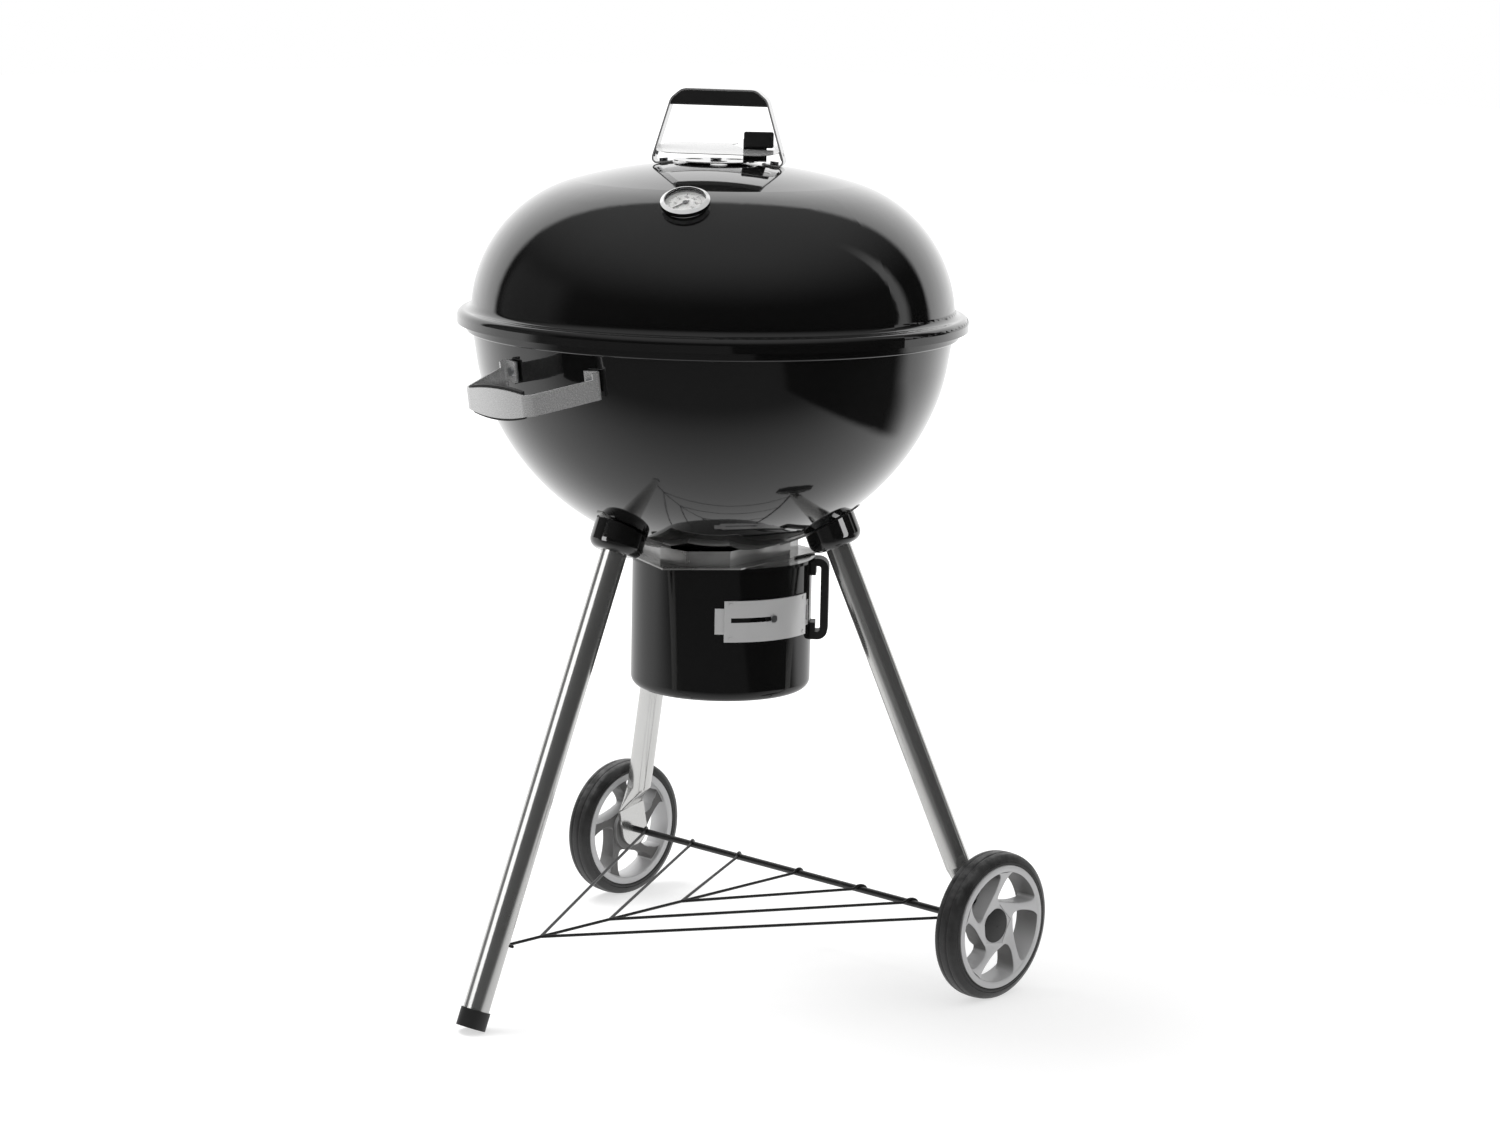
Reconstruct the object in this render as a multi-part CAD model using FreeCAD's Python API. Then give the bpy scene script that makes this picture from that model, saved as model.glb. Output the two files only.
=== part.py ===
"""Kettle charcoal grill: enamelled bowl and lift-off lid on three tube legs, with an ash catcher,
two wheels and a wire shelf.  Millimetres, +Z up.  The model is built about the bowl's vertical
axis, standing on Z = 0, and moved at the end so that the origin is the centre of its footprint.
Azimuths are measured in plan from the front (-Y) towards the right (+X).
"""
import FreeCAD, Part
import math
import os

V = FreeCAD.Vector
UP = V(0, 0, 1)
ORIGIN = V(0, 0, 0)

# ---------------------------------------------------------------- clearances
seat_gap = 0.3             # between a loose piece and what it rests on
weld_gap = 0.1             # between pieces that are screwed or welded together
running_gap = 0.08         # radial, shaft in hole
slide_gap = 0.35           # between sliding sheets

# ---------------------------------------------------------------- enamelled shells
sheet = 1.2                # wall of lid, bowl and ash catcher
lid_radius = 279.8         # widest point of the dome
lid_spring_z = 783.0       # height of the widest point
lid_knuckle_radius = 160.6
lid_crown_radius = 592.0
lid_cove_radius = 9.0      # concave turn from the dome into the rim
lid_cove_z = 797.0         # where the dome meets the cove
lid_roll_radius = 7.3      # convex outer edge of the rim
lid_lip_z = 773.0          # bottom edge of the lid's rim

bowl_bottom_radius = 279.0
bowl_shoulder_radius = 225.6
bowl_shoulder_offset = 49.5      # shoulder arc's centre, out from the axis
bowl_shoulder_z = 766.3          # and its height
bowl_wall_lean = 8.9             # degrees, upper wall
bowl_rim_roll = 7.0              # outer radius of the rolled rim
bowl_rim_radius = 293.5          # outside of the rolled rim
bowl_rim_straight = 5.0          # upright part of the rolled rim
bowl_rim_flare = 45.0            # degrees, underside of the rim
bowl_opening_radius = 62.0       # ash opening in the bottom

# ---------------------------------------------------------------- lid furniture
lid_turn = 36.0            # azimuth that the lid handle faces
strap = 2.0                      # thickness of bent handle strap
strap_bend = 4.0                 # inner bend radius of handle strap
handle_width = 27.0              # lid handle strap, front to back
handle_foot_half = 76.4    # half the span at the feet
handle_foot_length = 25.0
handle_knee_rise = 9.0     # from the feet to where the legs lean in
handle_knee_half = 76.0
handle_knee_bend = 12.0
handle_corner_bend = 15.0
handle_shoulder_half = 56.0  # half the span where the top corners start
handle_top_half = 42.7
handle_rise = 87.3         # overall height above the feet
handle_corner_drop = 11.2  # height of the sloped top corners
grip_depth = 16.9          # height of the grip block
handle_slide = 3.5               # along the crown, towards the handle's right end
grip_width = 29.0
grip_round = 4.0                 # lower edges of the grip
screw_radius = 2.5
screw_head_radius = 5.0
screw_head_height = 3.0
nut_radius = 5.0
nut_height = 4.0
rivet_radius = 2.0

shield_rise = 19.5               # middle of the heat shield above the handle's feet
shield_tilt = 6.2                # degrees that it slopes down to the front
shield_depth = 78.0
shield_sheet = 1.0
shield_flange = 9.0        # height of the flanges on the legs
shield_slot_room = 1.0           # round the damper's lever and tab

damper_radius = 49.0
damper_sheet = 1.2
damper_hole_radius = 10.0
damper_hole_offset = 27.0
damper_holes = 3
damper_travel = 45.0             # degrees, towards the back
damper_rivet_radius = 3.0
lever_turn = 7.7           # closed lever, measured from the handle's right end
lever_inner = 31.0               # upright lever's edges, out from the pivot
lever_outer = 58.0
lever_sheet = 2.0
lever_foot = 8.0                 # width of the lever's foot on the disc
tab_inner = 31.5           # grip tab's ends, out from the pivot
tab_outer = 65.8
tab_height = 18.5
tab_thickness = 8.0
tab_round = 2.5
tab_socket = 10.0                # depth of the lever in the tab
tab_room = 1.0                   # between the tab and the heat shield

thermometer_offset = 197.2       # from the lid's axis
thermometer_turn = 34.9          # azimuth
thermometer_radius = 27.5
thermometer_height = 9.0
thermometer_wall = 2.0
thermometer_bezel = 4.5          # width of the bezel's sloped ring
dial_sheet = 0.8
glass_sheet = 1.5
bezel_rise = 1.0                 # bezel's inner edge above the case
bezel_slope = 1.5                # and its outer edge below
bezel_cover = 0.4                # metal over the glass
needle_length = 17.0
needle_width = 2.0
needle_sheet = 0.6
needle_tip_width = 0.6
needle_tail = 5.0
needle_lift = 0.8                # above the dial
spindle_radius = 1.5
spindle_proud = 0.6              # hub and spindle above the pointer
needle_travel = 270.0            # degrees, full scale
stem_radius = 4.0
stem_length = 45.0
stem_nut_radius = 9.0
stem_nut_height = 5.0

# ---------------------------------------------------------------- bowl handles
side_turn = 3.5                  # azimuth of the front handle
side_z = 728.0             # height of the screws
side_mount_half = 75.0           # half the span where the strap leaves the bowl
side_corner_half = 48.0
side_reach = 94.0                # corners, out from the mounting line
side_bow = 4.5                   # how far the bar bulges past its corners
side_tilt = 9.5            # degrees that the handle slopes down
side_leg_height = 24.0           # strap's legs, top to bottom
side_bar_swell = 4.5             # bar's extra height at its middle, above and below
side_ear_step = 7.0        # how far the ears at the bowl stand above the legs
side_ear_length = 14.0           # plain leg in an ear, out from the mounting line
side_tab_cut = 6.5               # the tabs end this much above the legs' lower edge
side_tab_length = 24.0
side_tab_bend = 5.0              # outer bend radius from tab to leg
side_corner_bend = 14.0          # outer bend radius from leg to bar
side_bar_bend = 350.0
side_grip_half = 38.0
side_grip_thickness = 5.0
side_grip_proud = 3.0            # inner grip stands past the bar's edges
side_lean_room = 0.8             # bowl wall leans away from the spacers
spacer_sheet = 1.5               # plates between the tabs and the bowl
spacer_width = 16.0
side_head_height = 2.4
side_screw_reach = 0.8           # screw ends inside the bowl wall

# ---------------------------------------------------------------- grates
grate_wire = 3.0                 # radius of rim and cross wires
grate_bar = 2.5                  # radius of the parallel bars
weld_sink = 0.5                  # how far welded wires sink into each other
cooking_radius = 262.0
cooking_z = 738.0
cooking_pitch = 22.0
charcoal_radius = 200.0
charcoal_pitch = 26.0
bracket_width = 26.0
bracket_sheet = 2.0
bracket_drop = 16.0
bracket_reach = 10.0             # shelf inside the cooking grate's rim
bracket_count = 4
bracket_turn = 45.0

# ---------------------------------------------------------------- legs and sockets
leg_count = 3
leg_radius = 15.0
leg_wall = 1.5
leg_floor_radius = 370.2         # leg centre lines meet the floor here
leg_slope = 0.4139               # inward run per unit of height
leg_top_z = 541.0
socket_radius = 31.5
socket_bottom_z = 521.0
socket_fillet = 12.0
foot_radius = 17.0
foot_height = 21.0
foot_floor = 5.0                 # solid end of the foot cap
foot_bevel = 2.0                 # cut away where the foot stands
crimp_top_z = 152.0              # tube starts to flatten
crimp_bottom_z = 118.0           # tube is flat
crimp_thickness = 4.0
crimp_width = 42.0

# ---------------------------------------------------------------- wheels and axle
wheel_radius = 86.9
wheel_track = 614.0
wheel_inset = 167.1              # axle behind the bowl's axis
tyre_width = 31.0
tyre_height = 13.8
tyre_shoulder = 3.0
rim_face = 6.0                   # flat front of the rim ring
rim_flank = 7.5                  # slope from the ring down to the openings
rim_front = 17.0                 # ring's front, out from the wheel's middle plane
rim_back = 15.0
web_front = 11.0                 # front of the spokes at the rim
web_back = 10.0
hub_radius = 28.0
hub_front = 8.0
hub_back = 15.0
spoke_count = 5
spoke_width = 13.0
spoke_offset = 21.0              # spokes pass this far from the wheel's centre
spoke_turn = {1.0: -8.4, -1.0: -17.0}    # degrees that the right and left wheels stand turned
spoke_fillet = 4.5
cap_radius = 19.8
cap_height = 2.0
cap_recess = 7.0
cap_wall = 1.5
axle_radius = 4.0
washer_radius = 10.0
washer_sheet = 1.5
push_nut_radius = 9.0
push_nut_height = 3.0

# ---------------------------------------------------------------- frame under the bowl
frame_sheet = 1.8
frame_plate_z = 504.5
frame_band_top = 523.5
frame_band_sides = ((0.0, 94.3), (50.0, 103.5), (97.0, 81.2))      # azimuth, distance; per leg
frame_plate_sides = ((-22.0, 97.0), (50.0, 116.7))
frame_opening_radius = 74.0
frame_skirt_radius = 88.0
frame_skirt_drop = 7.0
arm_root_half = 30.0             # half width of a frame arm under the bowl
arm_tip_half = 4.5
arm_tip_radius = 178.0           # arm's reach from the axis
arm_sheet = 1.6

# ---------------------------------------------------------------- ash catcher
ash_radius = 105.3
ash_offset = 16.0                # ash catcher sits off centre, towards its handle
ash_turn = 130.0                 # azimuth of its handle
ash_height = 157.0
ash_fillet = 12.0
ash_lip = 3.2                    # rolled lip, out from the wall
ash_lip_height = 4.0
collar_sheet = 1.2               # ring inside the mouth, round the frame's skirt
collar_recess = 1.0              # below the bucket's lip
collar_height = 5.0
vent_turn = 77.6                 # azimuth of the vent, about the ash catcher's axis
vent_half = 31.7                 # half the cover's angle
vent_z = 443.0
vent_height = 48.0
vent_sheet = 1.0
vent_edge = 0.4                  # rounding of the cover's upright edges
vent_rivet_radius = 2.2
vent_rivet_turn = 4.0            # degrees in from the cover's ends
vent_rivet_inset = 4.2           # from its upper and lower edges
vent_rivet_proud = 0.8
rail_inset = 1.5                 # degrees, rails inside the cover's ends
slide_height = 30.0
slide_half = 37.5
slide_travel = 26.0              # degrees
slot_height = 5.5
slot_rise = 1.5                  # slot's middle above the cover's
stud_radius = 2.4
stud_head_radius = 4.2
stud_head_height = 2.2
port_count = 3
port_half = 5.0                  # half angle of a vent port
port_pitch = 20.0
port_height = 18.0
ash_grip_z = 455.0
ash_grip_length = 96.0
ash_grip_reach = 20.0
ash_grip_width = 24.0
ash_grip_thickness = 9.0
ash_grip_bend = 12.0
ash_foot_height = 20.0
ash_foot_sheet = 5.0
ash_screw_head = 4.0
ash_screw_grip = 4.0             # screw's length in the handle's foot

# ---------------------------------------------------------------- wire shelf
shelf_wire = 2.2                 # radius
shelf_z = 90.0
shelf_apexes = (-262.5, -153.6, -35.5)
shelf_ends = (267.0, 183.5, 102.0)
shelf_overhang = 4.0             # wires run past the axle
shelf_cross_half = 9.0

parts = {}


def plan(radius, azimuth, z=0.0):
    """Point at a radius and azimuth about the bowl's axis."""
    a = math.radians(azimuth)
    return V(radius * math.sin(a), -radius * math.cos(a), z)


def line(a, b):
    return Part.LineSegment(a, b).toShape()


def arc(a, middle, b):
    return Part.Arc(a, middle, b).toShape()


def arc_about(centre, radius, start, end):
    """Arc in the XZ plane; angles in degrees from +X towards +Z."""
    points = []
    for angle in (start, (start + end) / 2.0, end):
        a = math.radians(angle)
        points.append(V(centre[0] + radius * math.cos(a), 0, centre[1] + radius * math.sin(a)))
    return arc(*points), points[0], points[2]


def face(edges):
    return Part.Face(Part.Wire(edges))


def polygon(points):
    return Part.Face(Part.makePolygon(points + [points[0]]))


def turned(profile, axis_point=ORIGIN, axis=UP, angle=360.0):
    return profile.revolve(axis_point, axis, angle)


def cylinder(radius, height, base, axis=UP):
    return Part.makeCylinder(radius, height, base, axis)


def tube(outer, inner, height, base, axis=UP):
    return cylinder(outer, height, base, axis).cut(cylinder(inner, height, base, axis))


def spun(shape, azimuth, about=ORIGIN):
    """Copy of a shape turned about a vertical axis; azimuth 0 leaves it alone."""
    copy = shape.copy()
    copy.rotate(about, UP, azimuth)
    return copy


def placed(shape, base, x_axis, z_axis):
    """Copy of a shape carried from the world axes to a local frame."""
    z = V(z_axis)
    z.normalize()
    x = V(x_axis) - z * V(x_axis).dot(z)
    x.normalize()
    y = z.cross(x)
    matrix = FreeCAD.Matrix(x.x, y.x, z.x, base.x, x.y, y.y, z.y, base.y, x.z, y.z, z.z, base.z, 0, 0, 0, 1)
    copy = shape.copy()
    copy.transformShape(matrix)
    return copy


def bent_edges(points, bends, offset):
    """Edges of a path through points in the XY plane, with a bend radius at each inner point,
    shifted sideways by an offset (positive to the left of the direction of travel)."""
    count = len(points) - 1
    heads = [(points[i + 1] - points[i]).normalize() for i in range(count)]
    lefts = [V(-h.y, h.x, 0) for h in heads]
    edges = []
    start = points[0] + lefts[0] * offset
    for i in range(1, count):
        turn = heads[i - 1].cross(heads[i]).z
        half = math.atan2(abs(turn), heads[i - 1].dot(heads[i])) / 2.0
        side = 1.0 if turn > 0 else -1.0
        setback = bends[i - 1] * math.tan(half)
        tangent_in = points[i] - heads[i - 1] * setback
        tangent_out = points[i] + heads[i] * setback
        centre = tangent_in + lefts[i - 1] * side * bends[i - 1]
        radius = bends[i - 1] - side * offset
        outward = (points[i] - centre).normalize()
        a = tangent_in + lefts[i - 1] * offset
        b = tangent_out + lefts[i] * offset
        edges.append(line(start, a))
        edges.append(arc(a, centre + outward * radius, b))
        start = b
    edges.append(line(start, points[-1] + lefts[-1] * offset))
    return edges


def bent_strip(points, bends, thickness, width, start=0.0):
    """Strip bent along a path and standing up from the XY plane by its width.  It lies between two
    sideways offsets, start and start + thickness; bend radii are those of the path itself."""
    near = bent_edges(points, bends, start)
    far = bent_edges(points, bends, start + thickness)
    caps = [line(near[i].Vertexes[i].Point, far[i].Vertexes[i].Point) for i in (0, -1)]
    return Part.Face(Part.Wire(Part.__sortEdges__(near + far + caps))).extrude(V(0, 0, width))


def polygon_from_sides(sides):
    """Corners of a polygon given as (azimuth, distance from the axis) of each side in turn."""
    corners = []
    for i in range(len(sides)):
        (a1, d1), (a2, d2) = sides[i - 1], sides[i]
        n1, n2 = plan(1.0, a1), plan(1.0, a2)
        det = n1.x * n2.y - n1.y * n2.x
        corners.append(V((d1 * n2.y - d2 * n1.y) / det, (n1.x * d2 - n2.x * d1) / det, 0))
    return corners


def three_fold(sides, grow=0.0):
    """The same group of sides repeated at every leg."""
    step = 360.0 / leg_count
    return [(a + i * step, d + grow) for i in range(leg_count) for a, d in sides]


# ---------------------------------------------------------------- shell profiles
lid_knuckle_offset = lid_radius - lid_knuckle_radius
lid_crown_z = lid_spring_z - math.sqrt((lid_crown_radius - lid_knuckle_radius) ** 2 - lid_knuckle_offset ** 2)
lid_top_z = lid_crown_z + lid_crown_radius
lid_join = math.degrees(math.atan2(lid_spring_z - lid_crown_z, lid_knuckle_offset))
bowl_centre_z = bowl_shoulder_z + math.sqrt(
    (bowl_bottom_radius - bowl_shoulder_radius) ** 2 - bowl_shoulder_offset ** 2)
bowl_join = -math.degrees(math.atan2(bowl_centre_z - bowl_shoulder_z, bowl_shoulder_offset))


def lid_surface(radius):
    """Height and outward tilt (degrees) of the lid's outside at a radius."""
    join_radius = lid_crown_radius * math.cos(math.radians(lid_join))
    if radius <= join_radius:
        height = lid_crown_z + math.sqrt(lid_crown_radius ** 2 - radius ** 2)
        return height, math.degrees(math.asin(radius / lid_crown_radius))
    run = radius - lid_knuckle_offset
    height = lid_spring_z + math.sqrt(lid_knuckle_radius ** 2 - run ** 2)
    return height, math.degrees(math.asin(run / lid_knuckle_radius))


def bowl_wall_radius(z):
    """Radius of the bowl's outside at a height on its shoulder or upper wall."""
    knee_z = bowl_shoulder_z - bowl_shoulder_radius * math.sin(math.radians(bowl_wall_lean))
    if z < knee_z:
        return bowl_shoulder_offset + math.sqrt(bowl_shoulder_radius ** 2 - (bowl_shoulder_z - z) ** 2)
    knee = bowl_shoulder_offset + bowl_shoulder_radius * math.cos(math.radians(bowl_wall_lean))
    return knee + (z - knee_z) * math.tan(math.radians(bowl_wall_lean))


def leg_point(z):
    """Distance of a leg's centre line from the bowl's axis at a height."""
    return leg_floor_radius - leg_slope * z


leg_tilt = math.degrees(math.atan(leg_slope))


def lid_outline(inset):
    """Edges from the axis to the lid's lip, on the outside (inset 0) or inside of the sheet."""
    crown, top, crown_end = arc_about((0, lid_crown_z), lid_crown_radius - inset, 90.0, lid_join)
    cove_angle = math.degrees(math.asin((lid_cove_z - lid_spring_z) / lid_knuckle_radius))
    knuckle, _, knuckle_end = arc_about(
        (lid_knuckle_offset, lid_spring_z), lid_knuckle_radius - inset, lid_join, cove_angle)
    a = math.radians(cove_angle)
    cove_r = lid_knuckle_offset + (lid_knuckle_radius + lid_cove_radius) * math.cos(a)
    cove_z = lid_spring_z + (lid_knuckle_radius + lid_cove_radius) * math.sin(a)
    cove, _, cove_end = arc_about((cove_r, cove_z), lid_cove_radius + inset, 180.0 + cove_angle, 270.0)
    roll_z = cove_z - lid_cove_radius - lid_roll_radius
    roll, _, roll_end = arc_about((cove_r, roll_z), lid_roll_radius - inset, 90.0, 0.0)
    lip_end = V(roll_end.x, 0, lid_lip_z)
    return [crown, knuckle, cove, roll, line(roll_end, lip_end)], top, lip_end, cove_z


def bowl_outline(inset, opening):
    """Edges from the ash opening to the end of the rolled rim."""
    radius = bowl_bottom_radius - inset
    start_angle = -90.0 + math.degrees(math.asin(opening / radius))
    bottom, start, _ = arc_about((0, bowl_centre_z), radius, start_angle, bowl_join)
    shoulder, _, knee = arc_about(
        (bowl_shoulder_offset, bowl_shoulder_z), bowl_shoulder_radius - inset, bowl_join, -bowl_wall_lean)
    roll_r = bowl_rim_radius - bowl_rim_roll
    low = (roll_r, bowl_roll_z - bowl_rim_straight)
    flare = math.radians(bowl_rim_flare)
    low_roll, flare_end, low_end = arc_about(low, bowl_rim_roll - inset, -bowl_rim_flare, 0.0)
    lean = math.tan(math.radians(bowl_wall_lean))
    rise = math.tan(flare)
    corner_r = (flare_end.z - knee.z - flare_end.x * rise + knee.x / lean) / (1.0 / lean - rise)
    corner = V(corner_r, 0, flare_end.z - (flare_end.x - corner_r) * rise)
    top_roll, top_start, top_end = arc_about((roll_r, bowl_roll_z), bowl_rim_roll - inset, 0.0, 180.0)
    edges = [bottom, shoulder, line(knee, corner), line(corner, flare_end), low_roll,
             line(low_end, top_start), top_roll]
    return edges, start, top_end


def revolve_sheet(outer, inner, start_cap, end_cap):
    wire = Part.Wire(Part.__sortEdges__(outer + inner + [start_cap, end_cap]))
    return turned(Part.Face(wire))


lid_outer, lid_top, lid_lip, lid_cove_centre_z = lid_outline(0.0)
lid_flange_z = lid_cove_centre_z - lid_cove_radius
bowl_roll_z = lid_flange_z - sheet - seat_gap - bowl_rim_roll
lid_frame_x = plan(1.0, lid_turn + 90.0)         # along the handle, to its right end
lid_frame_y = plan(-1.0, lid_turn)               # away from the side that the handle faces
foot_middle = handle_foot_half - handle_foot_length / 2.0
foot_slope = math.radians(lid_surface(foot_middle)[1])
foot_rise = handle_foot_length * math.tan(foot_slope)
handle_base_z = lid_surface(foot_middle)[0] + weld_gap - foot_rise / 2.0
handle_lean = math.atan((handle_knee_half - handle_shoulder_half)
                        / (handle_rise - handle_corner_drop - handle_knee_rise))
handle_roll = math.degrees(handle_slide / lid_crown_radius)
rivet_z = shield_rise - shield_sheet - shield_flange / 2.0
damper_z = lid_top_z + seat_gap
tab_rise = handle_base_z + shield_rise + tab_room - damper_z


def lid_place(shape, z=0.0):
    """Carry a shape modelled with the lid handle along X to the lid."""
    return placed(shape, V(0, 0, z), lid_frame_x, UP)


def handle_place(shape):
    """Carry a shape modelled with the handle to the lid, slid along the lid's crown."""
    copy = lid_place(shape, handle_base_z)
    copy.rotate(V(0, 0, lid_crown_z), lid_frame_y, handle_roll)
    return copy


def at_feet(shape):
    """Copies of a shape at the middle of each handle foot, with its Z square to the lid."""
    copies = []
    for side in (-1, 1):
        base = V(side * foot_middle, 0, lid_surface(foot_middle)[0] - handle_base_z)
        up = V(side * math.sin(foot_slope), 0, math.cos(foot_slope))
        copies.append(handle_place(placed(shape, base, V(0, 1, 0), up)))
    return copies


def make_lid_shell():
    inner, inner_top, inner_lip, _ = lid_outline(sheet)
    shell = revolve_sheet(lid_outer, inner, line(lid_top, inner_top), line(lid_lip, inner_lip))
    drill_base = lid_top_z - lid_knuckle_radius
    shell = shell.cut(at_feet(cylinder(screw_radius + running_gap, 20 * sheet, V(0, 0, -10 * sheet))))
    for i in range(damper_holes):
        angle = math.radians(90.0 + i * 360.0 / damper_holes)
        spot = V(damper_hole_offset * math.cos(angle), damper_hole_offset * math.sin(angle), drill_base)
        shell = shell.cut(lid_place(cylinder(damper_hole_radius, lid_knuckle_radius * 2, spot)))
    pivot_hole = cylinder(damper_rivet_radius + running_gap, lid_knuckle_radius * 2, V(0, 0, drill_base))
    shell = shell.cut(pivot_hole)
    stem_hole = cylinder(stem_radius + running_gap, 4 * thermometer_height, V(0, 0, -3 * thermometer_height))
    return shell.cut(thermometer_place(stem_hole))


# ---------------------------------------------------------------- lid handle, shield, damper
handle_path = [
    V(-handle_foot_half + handle_foot_length, foot_rise, 0),
    V(-handle_foot_half, 0, 0),
    V(-handle_knee_half, handle_knee_rise, 0),
    V(-handle_shoulder_half, handle_rise - handle_corner_drop, 0),
    V(-handle_top_half, handle_rise, 0),
    V(handle_top_half, handle_rise, 0),
    V(handle_shoulder_half, handle_rise - handle_corner_drop, 0),
    V(handle_knee_half, handle_knee_rise, 0),
    V(handle_foot_half, 0, 0),
    V(handle_foot_half - handle_foot_length, foot_rise, 0),
]
foot_bend = strap_bend + strap
handle_bends = ([foot_bend, handle_knee_bend] + 4 * [handle_corner_bend]
                + [handle_knee_bend, foot_bend])


def upright(shape, width):
    """Stand a shape drawn in XY (Y up) and extruded along Z upright, centred front to back."""
    copy = shape.copy()
    copy.rotate(ORIGIN, V(1, 0, 0), 90.0)
    copy.translate(V(0, width / 2.0, 0))
    return copy


def leg_inside(z):
    """Inner face of the strap's leaning leg at a height above the feet."""
    return handle_knee_half - (z - handle_knee_rise) * math.tan(handle_lean) - strap / math.cos(handle_lean)


def at_shield_rivets(shape):
    """Copies of a shape on the inner faces of the handle's legs, with its Z pointing outwards."""
    copies = []
    for side in (-1, 1):
        outward = V(side * math.cos(handle_lean), 0, math.sin(handle_lean))
        base = V(side * leg_inside(rivet_z), 0, rivet_z)
        copies.append(handle_place(placed(shape, base, V(0, 1, 0), outward)))
    return copies


def handle_inside(inset, width):
    """Room inside the handle's loop, at an inset from the strap's outer face."""
    edges = bent_edges(handle_path, handle_bends, -inset)
    closing = line(edges[-1].Vertexes[-1].Point, edges[0].Vertexes[0].Point)
    return upright(face(edges + [closing]).extrude(V(0, 0, width)), width)


def make_lid_handle():
    """Bent steel strap whose feet turn in and sit on the crown of the lid."""
    loop = upright(bent_strip(handle_path, handle_bends, -strap, handle_width), handle_width)
    holes = at_feet(cylinder(screw_radius + running_gap, 4 * strap, ORIGIN))
    holes += at_shield_rivets(cylinder(rivet_radius + running_gap, 4 * strap, V(0, 0, -strap)))
    return handle_place(loop).cut(holes)


def make_grip():
    """Moulded grip that fills the top of the handle, under the strap."""
    low = handle_rise - strap - grip_depth
    block = handle_inside(strap + weld_gap, grip_width)
    block = block.common(Part.makeBox(2 * handle_foot_half, grip_width, handle_rise,
                                      V(-handle_foot_half, -grip_width / 2.0, low)))
    bottom = [e for e in block.Edges if e.BoundBox.ZMax < low + weld_gap and e.Length > handle_top_half]
    return handle_place(block.makeFillet(grip_round, bottom))


def make_handle_screws():
    """Screws down through the strap's feet and the lid."""
    seat = strap + 2 * weld_gap
    tail = -sheet - nut_height - 2 * seat_gap
    shank = cylinder(screw_radius, seat - tail, V(0, 0, tail))
    head = cylinder(screw_head_radius, screw_head_height, V(0, 0, seat))
    return Part.makeCompound(at_feet(head.fuse(shank).removeSplitter()))


def hexagon_nut(radius, height, bore, top):
    """Nut whose upper face is at a height, on the Z axis."""
    corners = []
    for i in range(6):
        a = i * math.pi / 3
        corners.append(V(radius * math.cos(a), radius * math.sin(a), top - height))
    nut = polygon(corners).extrude(V(0, 0, height))
    return nut.cut(cylinder(bore, 3 * height, V(0, 0, top - 2 * height)))


def make_handle_nuts():
    nut = hexagon_nut(nut_radius, nut_height, screw_radius + running_gap, -sheet - weld_gap)
    return Part.makeCompound(at_feet(nut))


def damper_sweep():
    """Room that the lever and its tab need as the damper turns, as a sector of a ring."""
    inner, outer = min(lever_inner, tab_inner) - shield_slot_room, tab_outer + shield_slot_room
    margin = math.degrees(math.asin((tab_thickness / 2.0 + shield_slot_room) / inner))
    low, high = damper_z, damper_z + 2 * tab_rise
    section = polygon([V(inner, 0, low), V(outer, 0, low), V(outer, 0, high), V(inner, 0, high)])
    return lid_place(spun(turned(section, angle=damper_travel + 2 * margin), lever_turn - margin))


def make_heat_shield():
    """Bright plate riveted between the handle's legs.  It slopes, so that hot air from the damper
    is led away behind the hand, and is cut away where the damper's lever and tab swing."""
    length = 2 * handle_foot_half
    corner = V(-handle_foot_half, -shield_depth / 2.0, shield_rise - shield_sheet)
    plate = Part.makeBox(length, shield_depth, shield_sheet, corner)
    half = leg_inside(shield_rise)
    plate = plate.common(Part.makeBox(2 * half, shield_depth, shield_rise, V(-half, corner.y, 0)))
    corners = [e for e in plate.Edges if abs(e.Vertexes[0].Z - e.Vertexes[-1].Z) > shield_sheet / 2.0]
    plate = plate.makeFillet((shield_depth - handle_width) / 2.0, corners)
    width = handle_width - 2 * shield_sheet
    band = Part.makeBox(length, width, shield_flange + shield_sheet,
                        V(-handle_foot_half, -width / 2.0, shield_rise - shield_sheet - shield_flange))
    pivot = V(0, 0, shield_rise)
    for shape in (plate, band):
        shape.rotate(pivot, V(1, 0, 0), shield_tilt)
    room = handle_inside(strap + weld_gap, shield_depth)
    core = handle_inside(strap + weld_gap + shield_sheet, shield_depth)
    solid = plate.common(room).fuse(band.common(room).cut(core)).removeSplitter()
    holes = at_shield_rivets(cylinder(rivet_radius + running_gap, 4 * strap, V(0, 0, -2 * strap)))
    return handle_place(solid).cut(holes + [damper_sweep()])


def make_shield_rivets():
    inside = -shield_sheet - 3 * weld_gap
    shank = cylinder(rivet_radius, strap + 2 * weld_gap - inside, V(0, 0, inside))
    head = cylinder(2 * rivet_radius, shield_sheet, V(0, 0, inside - shield_sheet))
    return Part.makeCompound(at_shield_rivets(head.fuse(shank).removeSplitter()))


def make_damper():
    """Turning disc with three ports; an ear at its edge carries the lever."""
    ear = Part.makeBox(lever_outer - lever_inner, lever_foot, damper_sheet,
                       V(lever_inner, -lever_foot / 2.0, 0))
    disc = cylinder(damper_radius, damper_sheet, ORIGIN).fuse(spun(ear, lever_turn))
    for i in range(damper_holes):
        angle = math.radians(90.0 - damper_travel + i * 360.0 / damper_holes)
        spot = V(damper_hole_offset * math.cos(angle), damper_hole_offset * math.sin(angle), -damper_sheet)
        disc = disc.cut(cylinder(damper_hole_radius, 3 * damper_sheet, spot))
    disc = disc.cut(cylinder(damper_rivet_radius + running_gap, 3 * damper_sheet, V(0, 0, -damper_sheet)))
    return lid_place(disc.removeSplitter(), damper_z)


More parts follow.
